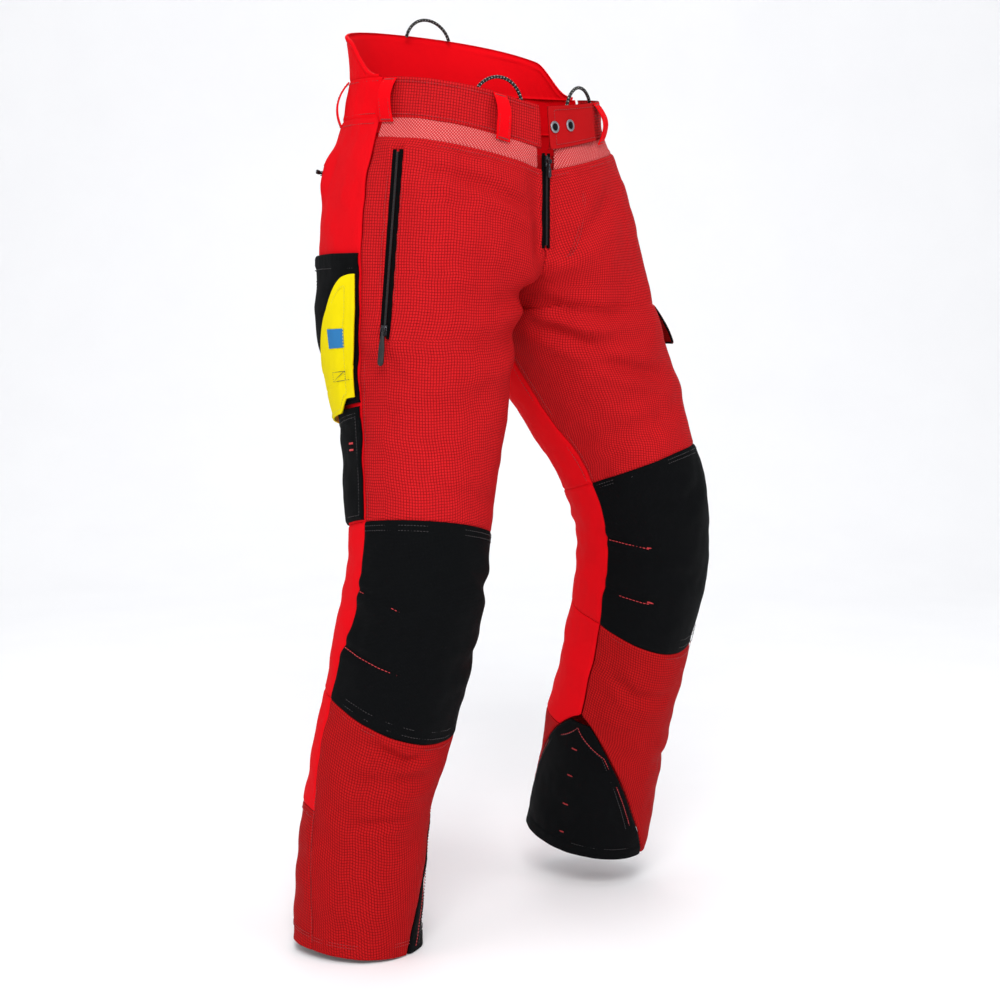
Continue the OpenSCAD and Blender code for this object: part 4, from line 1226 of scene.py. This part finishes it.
def zip_pull(z, x, length, width, ribs):
    """A looped wire eye with a tapered moulded grip, ribbed near its end."""
    eye = 1.2
    parts = []
    eye_path = [[x - 0.5 + 1.35 * math.cos(a), 0, PIN + 1.35 * math.sin(a)]
                for a in np.linspace(0.5, FULL_TURN - 0.5, 18)]
    parts.append(clean([tube(eye_path, 0.52, 10)])[:2])
    stem = rounded(8.0, 2 * eye, 0.6, 4, x - 0.5 + 4.9, 0)
    parts.append(plate(stem, PIN - 0.65, PIN + 0.65, 0.25))
    n = 22
    half = width / 2
    lead, tail = 7.0, length - 1.2
    xs = np.linspace(0, 1, n)
    tip = np.sqrt(np.clip(1 - ((xs - 0.86) / 0.145) ** 2 * (xs > 0.86), 0.02, 1))
    edge = half * (0.62 + 0.38 * smooth(xs * 2.2)) * tip
    outline = [(x - 0.5 + lead + (tail - lead) * k, e) for k, e in zip(xs, edge)]
    outline += [(px, -py) for px, py in outline[::-1]]
    parts.append(plate(outline, PIN - 1.05, PIN + 1.05, 0.4))
    for k in range(ribs):
        rx = x - 0.5 + lead + (tail - lead) * (0.45 + 0.07 * k)
        parts.append(plate(rounded(0.9, width * 0.72, 0.4, 3, rx, 0), PIN + 0.9, PIN + 1.3, 0.15))
    v, f = lists(parts)
    return from_zip(z, v), f


def whole_zip(base, side, z, back, slide_at, pull_length, pull_width, slider_z=None):
    """All four pieces of one zip. The slider may be placed from the zip's other end."""
    q = "_" + side if side else ""
    name = base + "_%s" + q
    piece(name % "zip_tape", zip_tape(z), M_TAPE, "trousers", [name % "zip_tape"])
    sz = slider_z or z
    for part, solids, mat, body, slot in (
            ("zip_teeth", lists(coil(z, 3.4, zip_axes(z)[3] - 3.4)), M_COIL, "trousers", "zip_teeth"),
            ("zip_slider", zip_slider(sz, slide_at), M_METAL, base + "_slider" + q, "zip_metal"),
            ("zip_pull", zip_pull(sz, slide_at, pull_length, pull_width, 4), M_METAL if back else M_RUBBER,
             base + "_pull" + q, "zip_metal" if back else "pull_cord")):
        ob = make_mesh(name % part, *solids, None, [mat], smooth_shade=part != "zip_teeth")
        wear(ob, body, [name % part])


def pull_side(z):
    return zip_axes(z)[3] - 9


whole_zip("fly", "", ZIP_FLY, True, 10, 20, 5)
whole_zip("thigh", "r", ZIP_THIGH_R, False, pull_side(ZIP_THIGH_R), 42, 7)
whole_zip("thigh", "l", ZIP_THIGH_L, False, pull_side(ZIP_THIGH_L), 24, 6)
ZIP_HIP_BACK = [ZIP_HIP_R[1], ZIP_HIP_R[0], ZIP_HIP_R[2]]
whole_zip("hip", "r", ZIP_HIP_R, False, pull_side(ZIP_HIP_R), 22, 5, ZIP_HIP_BACK)


def shield_place(x, y, o):
    length = zip_axes(ZIP_FLY)[3]
    xs = 2 + (length - 2) * y
    ys = -20 + 40 * x
    return on_zip(ZIP_FLY, xs, ys, -5.9 + np.asarray(o, float) + 0.25 * np.sin(ys / 4.0) * np.sin(xs / 17.0))


sheet_piece("fly_shield", M_TAB, "trousers", "ripstop_red", shield_place, 3.0, 1.5, 0, (0, 0, 0, 0), False)


# ---------------------------------------------------------------- stitching

TREES, THREADS = {}, {}


def on_piece(name, points):
    """The nearest points on a piece, with their normals, in mm."""
    if name not in TREES:
        me = bpy.data.objects[name].data
        TREES[name] = BVHTree.FromPolygons([v.co.copy() for v in me.vertices],
                                           [tuple(q.vertices) for q in me.polygons])
    hits = [TREES[name].find_nearest(Vector(p * MM)) for p in points]
    where, normal = np.array([h[0] for h in hits]) / MM, np.array([h[1] for h in hits])
    return where, unit(normal)


def sew_path(where, mat, name, points, **kw):
    p, n = on_piece(name, np.asarray(points, float))
    THREADS.setdefault((where, mat.name), []).extend(stitches(p, n, **kw))


def sew(where, mat, name, s, f, vs, us, n=70, **kw):
    sew_path(where, mat, name, line_on(s, f, vs, us, 1.6, n)[0], **kw)


def bartack(where, mat, name, middle, along, length=9.0, width=1.9):
    """A dense bar of short stitches across a line."""
    along = unit(along)
    middle = np.asarray(middle, float)
    _, n = on_piece(name, [middle])
    across = np.cross(n[0], along)
    for k in np.arange(-length / 2, length / 2 + 0.01, 0.62):
        c = middle + along * k
        ends, m = on_piece(name, [c - across * width / 2, c, c + across * width / 2])
        THREADS.setdefault((where, mat.name), []).extend(
            stitches(ends, m, pitch=width * 0.9, length=width * 0.95, radius=0.34, lift=0.12))


def place_at(place, x, y, o=1.5):
    x, y = np.broadcast_arrays(np.asarray(x, float), np.asarray(y, float))
    return place(x, y, np.full(x.shape, float(o)))


def sew_place(where, mat, name, place, xs, ys, n=70, o=1.5, **kw):
    k, q = np.linspace(0, 1, n), np.linspace(0, 1, len(xs))
    sew_path(where, mat, name, place_at(place, np.interp(k, q, xs), np.interp(k, q, ys), o), **kw)


RED, DEEP, BLK, OLIVE = M_THREAD_RED, M_THREAD_DEEP, M_THREAD_BLACK, M_THREAD_DARK
for s, q in SIDES:
    knee, shin = "knee_" + q, "shin_" + q
    band, thigh, back_, patch = "waistband_front_" + q, "front_thigh_" + q, "back_leg_" + q, "knee_patch_" + q
    # waistband and vent
    for v in (0.022, BAND - 0.014):
        sew("trousers", DEEP, band, s, FRONT, [v, v], [0.02, 0.97], 90)
    sew(knee, DEEP, thigh, s, FRONT, [VENT + 0.03] * 2, [0.02, 0.97], 90)
    # twin rows beside the seams of the front and the seat
    sew(knee, DEEP, back_, s, BACK, [BAND + 0.03] * 2, [0.02, 0.98], 90)
    for u in (0.975, 0.962):
        sew(knee, DEEP, back_, s, BACK, [BAND + 0.04, 0.5, 0.95], [u] * 3, 70)
    sew(knee, DEEP, thigh, s, FRONT, [1.1, 3.05], [0.018] * 2, 90)
    sew(knee, DEEP, thigh, s, FRONT, [1.25, 3.05], [0.982] * 2, 90)
    sew(knee, DEEP, back_, s, BACK, [1.25, 3.05], [0.982] * 2, 90)
    # knee patch: two rows along the top and the bottom
    for d in (0.022, 0.05):
        place = between(s, FRONT, KNEE0 + 0.012, KNEE1, dip1=KNEE_DIP)
        for y in (d, 1 - d):
            sew_place(knee, BLK, patch, place, [0.01, 0.25, 0.5, 0.75, 0.99], [y] * 5, 110, 2.4, radius=0.42)
    for x0, y0, x1, y1 in DARTS[s]:
        start = x0 + (0.012 if x0 < 0.5 else -0.012)
        sew_place(knee, RED, patch, place, [start, x1], [y0 + 0.006, y1 + 0.006], 40, 2.4, pitch=4.4,
                  length=3.3,
                  radius=0.46, lift=0.8)
        a, b = place_at(place, [x1, x1 + 0.01], [y1, y1], 2.4)
        bartack(knee, RED, patch, a, b - a, 8.0, 2.2)
    # shin and cuff
    front_, calf, cuff = "front_shin_" + q, "back_calf_" + q, "calf_cuff_" + q
    top = between(s, FRONT, KNEE1 + 0.012, HEM, dip0=KNEE_DIP, gap=0.004)
    sew_place(shin, DEEP, front_, top, [0.02, 0.25, 0.5, 0.75, 0.98], [0.016] * 5, 110)
    sew_place(shin, DEEP, front_, top, [0.018, 0.018], [0.03, 0.97], 100)
    for y in (0.944, 0.956):
        sew_place(shin, DEEP, front_, top, [0.01, 0.99], [y] * 2, 120)
    rear = between(s, BACK, CUFF + 0.012, HEM, gap=0.004)
    for y in (0.88, 0.9):
        sew_place(shin, DEEP, cuff, rear, [0.01, 0.99], [y] * 2, 120)
    sew_place(shin, DEEP, cuff, rear, [0.01, 0.985], [0.025] * 2, 100)
    # ankle guard: twin rows down its edges, four bars in the middle and a hem row
    guard, spot = "ankle_guard_" + q, ankle_place(s)
    for edge in (0.05, 0.085):
        for side in (edge, 1 - edge):
            sew_place(shin, RED if edge < 0.06 else BLK, guard, spot, [0.5, side, side, side],
                      [0.03, 0.2, 0.6, 0.985], 110, radius=0.42)
    sew_place(shin, BLK, guard, spot, [0.03, 0.97], [0.92] * 2, 90)
    for y in (0.2, 0.41, 0.64, 0.86):
        a, b = place_at(spot, [0.5, 0.51], [y, y])
        bartack(shin, DEEP, guard, a, b - a, 8.0, 1.9)

# zips: a row each side, and a bar across each end
for z, name, where in ((ZIP_THIGH_R, "front_thigh_r", "knee_r"), (ZIP_THIGH_L, "front_thigh_l", "knee_l"),
                       (ZIP_HIP_R, "back_leg_r", "knee_r")):
    length = zip_axes(z)[3]
    for y in (9.6, -9.6):
        sew_path(where, DEEP, name, on_zip(z, np.linspace(-5, length + 5, 70), np.full(70, y), 3.0))
    for x in (-4.0, length + 4.0):
        a = on_zip(z, x, 0.0, 3.0)
        bartack(where, DEEP, name, a, zip_axes(z)[1], 13.0, 2.0)
# the fly's curved row on the wearer's left
fly_v, fly_u = [VENT + 0.05, 0.5, 0.7, 0.8, 0.86], [0.78, 0.79, 0.83, 0.9, 0.985]
for d in (0.0, 0.018):
    sew("knee_l", DEEP, "front_thigh_l", LEFT, FRONT, fly_v, [u + d for u in fly_u], 90)
mid = line_on(LEFT, FRONT, [0.84, 0.86], [0.985, 0.985], 1.6, 2)[0]
bartack("knee_l", DEEP, "front_thigh_l", mid[0], mid[1] - mid[0], 9.0, 2.2)

# kidney guard and back of the waistband
sew_place("trousers", DEEP, "kidney_guard", guard_place, [0.05, 0.2, 0.35, 0.5, 0.65, 0.8, 0.95], [0.12] * 7,
          240)
for y in (0.09, 0.91):
    sew_place("trousers", DEEP, "waistband_back", round_back(0, BAND, 0.003), [0.01, 0.5, 0.99], [y] * 3, 220)

# belt loops: a bar at each end, twin rows down each
for s, f, u in LOOPS:
    place = loop_place(s, f, u)
    for y in (0.035, 0.965):
        a, b = place_at(place, [0.5, 0.6], [y, y], 3.0)
        bartack("trousers", DEEP, "belt_loops", a, b - a, 14.0, 2.0)
    for x in (0.14, 0.86):
        sew_place("trousers", DEEP, "belt_loops", place, [x, x], [0.07, 0.93], 30, 3.0, radius=0.3)

# closure tab
sew_place("closure_tab", DEEP, "closure_tab", tab_place, [0.05, 0.93, 0.93, 0.05], [0.09, 0.09, 0.91, 0.91],
          90)

# pockets on the right thigh
sew_place("trousers", BLK, "first_aid_pocket_r", FIRST_AID, [0.04, 0.96], [0.055] * 2)
sew_place("trousers", BLK, "first_aid_pocket_r", FIRST_AID, [0.05, 0.05, 0.95, 0.95],
          [0.08, 0.95, 0.95, 0.08], 110)
for y in (0.095, 0.06):
    sew_place("knee_r", BLK, "tool_pocket_r", TOOL, [0.04, 0.96], [y] * 2)
sew_place("knee_r", BLK, "tool_pocket_r", TOOL, [0.06, 0.06, 0.94, 0.94], [0.1, 0.96, 0.96, 0.1], 110)
for y in (0.33, 0.39):
    a, b = place_at(TOOL, [0.2, 0.3], [y, y - 0.01])
    bartack("knee_r", RED, "tool_pocket_r", a, b - a, 9.0, 2.4)


def yellow_at(x, v, o=0.0):
    """A place on the flap by its height v on the leg."""
    lo, hi = yellow_edges(x)
    return yellow_place(x, (v - lo) / (hi - lo), o)


# the yellow flap: a row inside its edge, a boxed cross near its lower end and a short tail
sew_place("first_aid_flap", M_THREAD_YELLOW, "first_aid_flap_r", yellow_place,
          [0.07, 0.5, 0.93, 0.93, 0.07, 0.07],
          [0.045, 0.045, 0.045, 0.955, 0.955, 0.045], 150)
(x0, x1), (y0, y1) = (0.07, 0.28), (1.53, 1.61)
sew_place("first_aid_flap", OLIVE, "first_aid_flap_r", yellow_at, [x0, x1, x1, x0, x0, x1],
          [y0, y0, y1, y1, y0, y1],
          120, pitch=2.6, length=2.0, radius=0.42)
sew_place("first_aid_flap", OLIVE, "first_aid_flap_r", yellow_at, [0.0, x0], [y1, y1], 20, pitch=2.8,
          length=2.1,
          radius=0.42)


def tag_place(x, y, o):
    return yellow_at(0.08 + 0.2 * x, 1.17 + 0.16 * y, 0.9 + o)


def tag_swell(x, y, lu, eu, lv, ev):
    rim = np.minimum(np.minimum(lu, eu), np.minimum(lv, ev))
    return -0.25 * np.exp(-((rim - 1.4) / 0.4) ** 2)


piece("plain_tag", [sheet_arrays(tag_place, 1.6, 0.7, 0, (0, 0, 0, 0), False, edges=(0.3, 0.7),
                                 swell=tag_swell)],
      M_TAG, "first_aid_flap")

# cargo pocket on the left thigh
sew_place("trousers", DEEP, "cargo_pocket_l", CARGO, [0.03, 0.03, 0.97, 0.97], [0.05, 0.96, 0.96, 0.05], 170)
sew_place("cargo_flap", DEEP, "cargo_flap_l", flap_l, [0.05, 0.05, 0.95, 0.95], [0.08, 0.92, 0.92, 0.08], 150)


# a bound edge: a soft tube of tape round the free edge of the cargo flap
k, q = np.linspace(0, 1, 90), np.linspace(0, 1, 4)
edge = place_at(flap_l, np.interp(k, q, [0.005, 0.005, 0.995, 0.995]),
                np.interp(k, q, [0.1, 0.995, 0.995, 0.1]), -1.1)
wear(make_mesh("cargo_flap_binding", *clean([tube(edge, 1.5, 12)]), [M_TAPE]), "cargo_flap")

for (where, mat), parts in sorted(THREADS.items()):
    v, f, t = joined(parts)
    name = "stitching_%s_%s" % (where, mat.replace("thread_", ""))
    wear(make_mesh(name, v, f, None, [bpy.data.materials[mat]]), where)


# ---------------------------------------------------------------- stage, light and camera

FLOOR = -1012.0
TURN = math.radians(-43.74)
RIGHTWARD, AHEAD = (math.cos(TURN), math.sin(TURN), 0), (-math.sin(TURN), math.cos(TURN), 0)


def stage_cloth():
    """A pale floor that curves up into a wall behind the trousers."""
    right, back = np.array(RIGHTWARD), np.array(AHEAD)
    profile = [(-9000, 0), (2600, 0)]
    profile += [(2600 + 1400 * math.sin(a), 1400 * (1 - math.cos(a))) for a in np.linspace(0.08, math.pi / 2,
                                                                                           16)]
    profile += [(4000, 7000)]
    xs = np.linspace(-8000, 8000, 9)
    verts = [right * x + back * d + np.array([0, 0, FLOOR + h]) for d, h in profile for x in xs]
    n, m = len(profile), len(xs)
    faces = [(i * m + j, i * m + j + 1, (i + 1) * m + j + 1, (i + 1) * m + j)
             for i in range(n - 1) for j in range(m - 1)]
    ob = make_mesh("stage_floor", verts, faces, None, [paper()])


def paper():
    c = Cloth("stage_paper", uv=False)
    n = c.noise(0.004, 3.0, 0.5)
    fine = c.noise(0.5, 2.0, 0.6)
    c.set(color=c.mix(n, lin((246, 246, 247)), lin((251, 251, 251))), rough=c.scaled(fine, 0.1, 0.8),
          spec=0.1)
    return c.m


def area_light(name, place, target, size, power):
    data = bpy.data.lights.new(name, "AREA")
    data.shape = "RECTANGLE"
    data.size, data.size_y = size
    data.energy = power
    ob = bpy.data.objects.new(name, data)
    ob.location = Vector(place)
    ob.rotation_euler = (Vector(target) - Vector(place)).to_track_quat("-Z", "Y").to_euler()
    bpy.context.scene.collection.objects.link(ob)


stage_cloth()
target = (0.02, -0.03, -0.5)
area_light("key", (-2.6, -2.6, 2.3), target, (1.8, 1.8), 128)
area_light("front_fill", (0.9, -4.2, 0.6), target, (3.0, 3.0), 38)
area_light("side_fill", (-4.2, 1.2, 0.5), target, (2.2, 2.6), 34)
area_light("back_fill", (2.6, 3.0, 1.6), target, (2.2, 2.2), 48)
area_light("top", (0, -0.4, 3.4), target, (2.6, 2.6), 52)

scene = bpy.context.scene
scene.world = bpy.data.worlds.new("studio")
scene.world.use_nodes = True
sky = scene.world.node_tree.nodes["Background"].inputs
sky["Color"].default_value = (0.93, 0.95, 1.0, 1)
sky["Strength"].default_value = 0.46
scene.view_settings.view_transform = "Standard"
scene.view_settings.look = "None"
scene.view_settings.exposure = 0.0

dist, pitch = 2.564, math.radians(6.01)
right, ahead = Vector(RIGHTWARD), Vector(AHEAD)
cam = bpy.data.cameras.new("photo_view")
cam.lens, cam.sensor_width = 76.06, 36.0
cam.clip_start, cam.clip_end = 0.05, 60.0
eye = bpy.data.objects.new("photo_view", cam)
eye.location = right * 0.0306 - ahead * dist + Vector((0, 0, -0.230))
look = ahead * math.cos(pitch) - Vector((0, 0, 1)) * math.sin(pitch)
eye.rotation_euler = look.to_track_quat("-Z", "Y").to_euler()
scene.collection.objects.link(eye)
scene.camera = eye
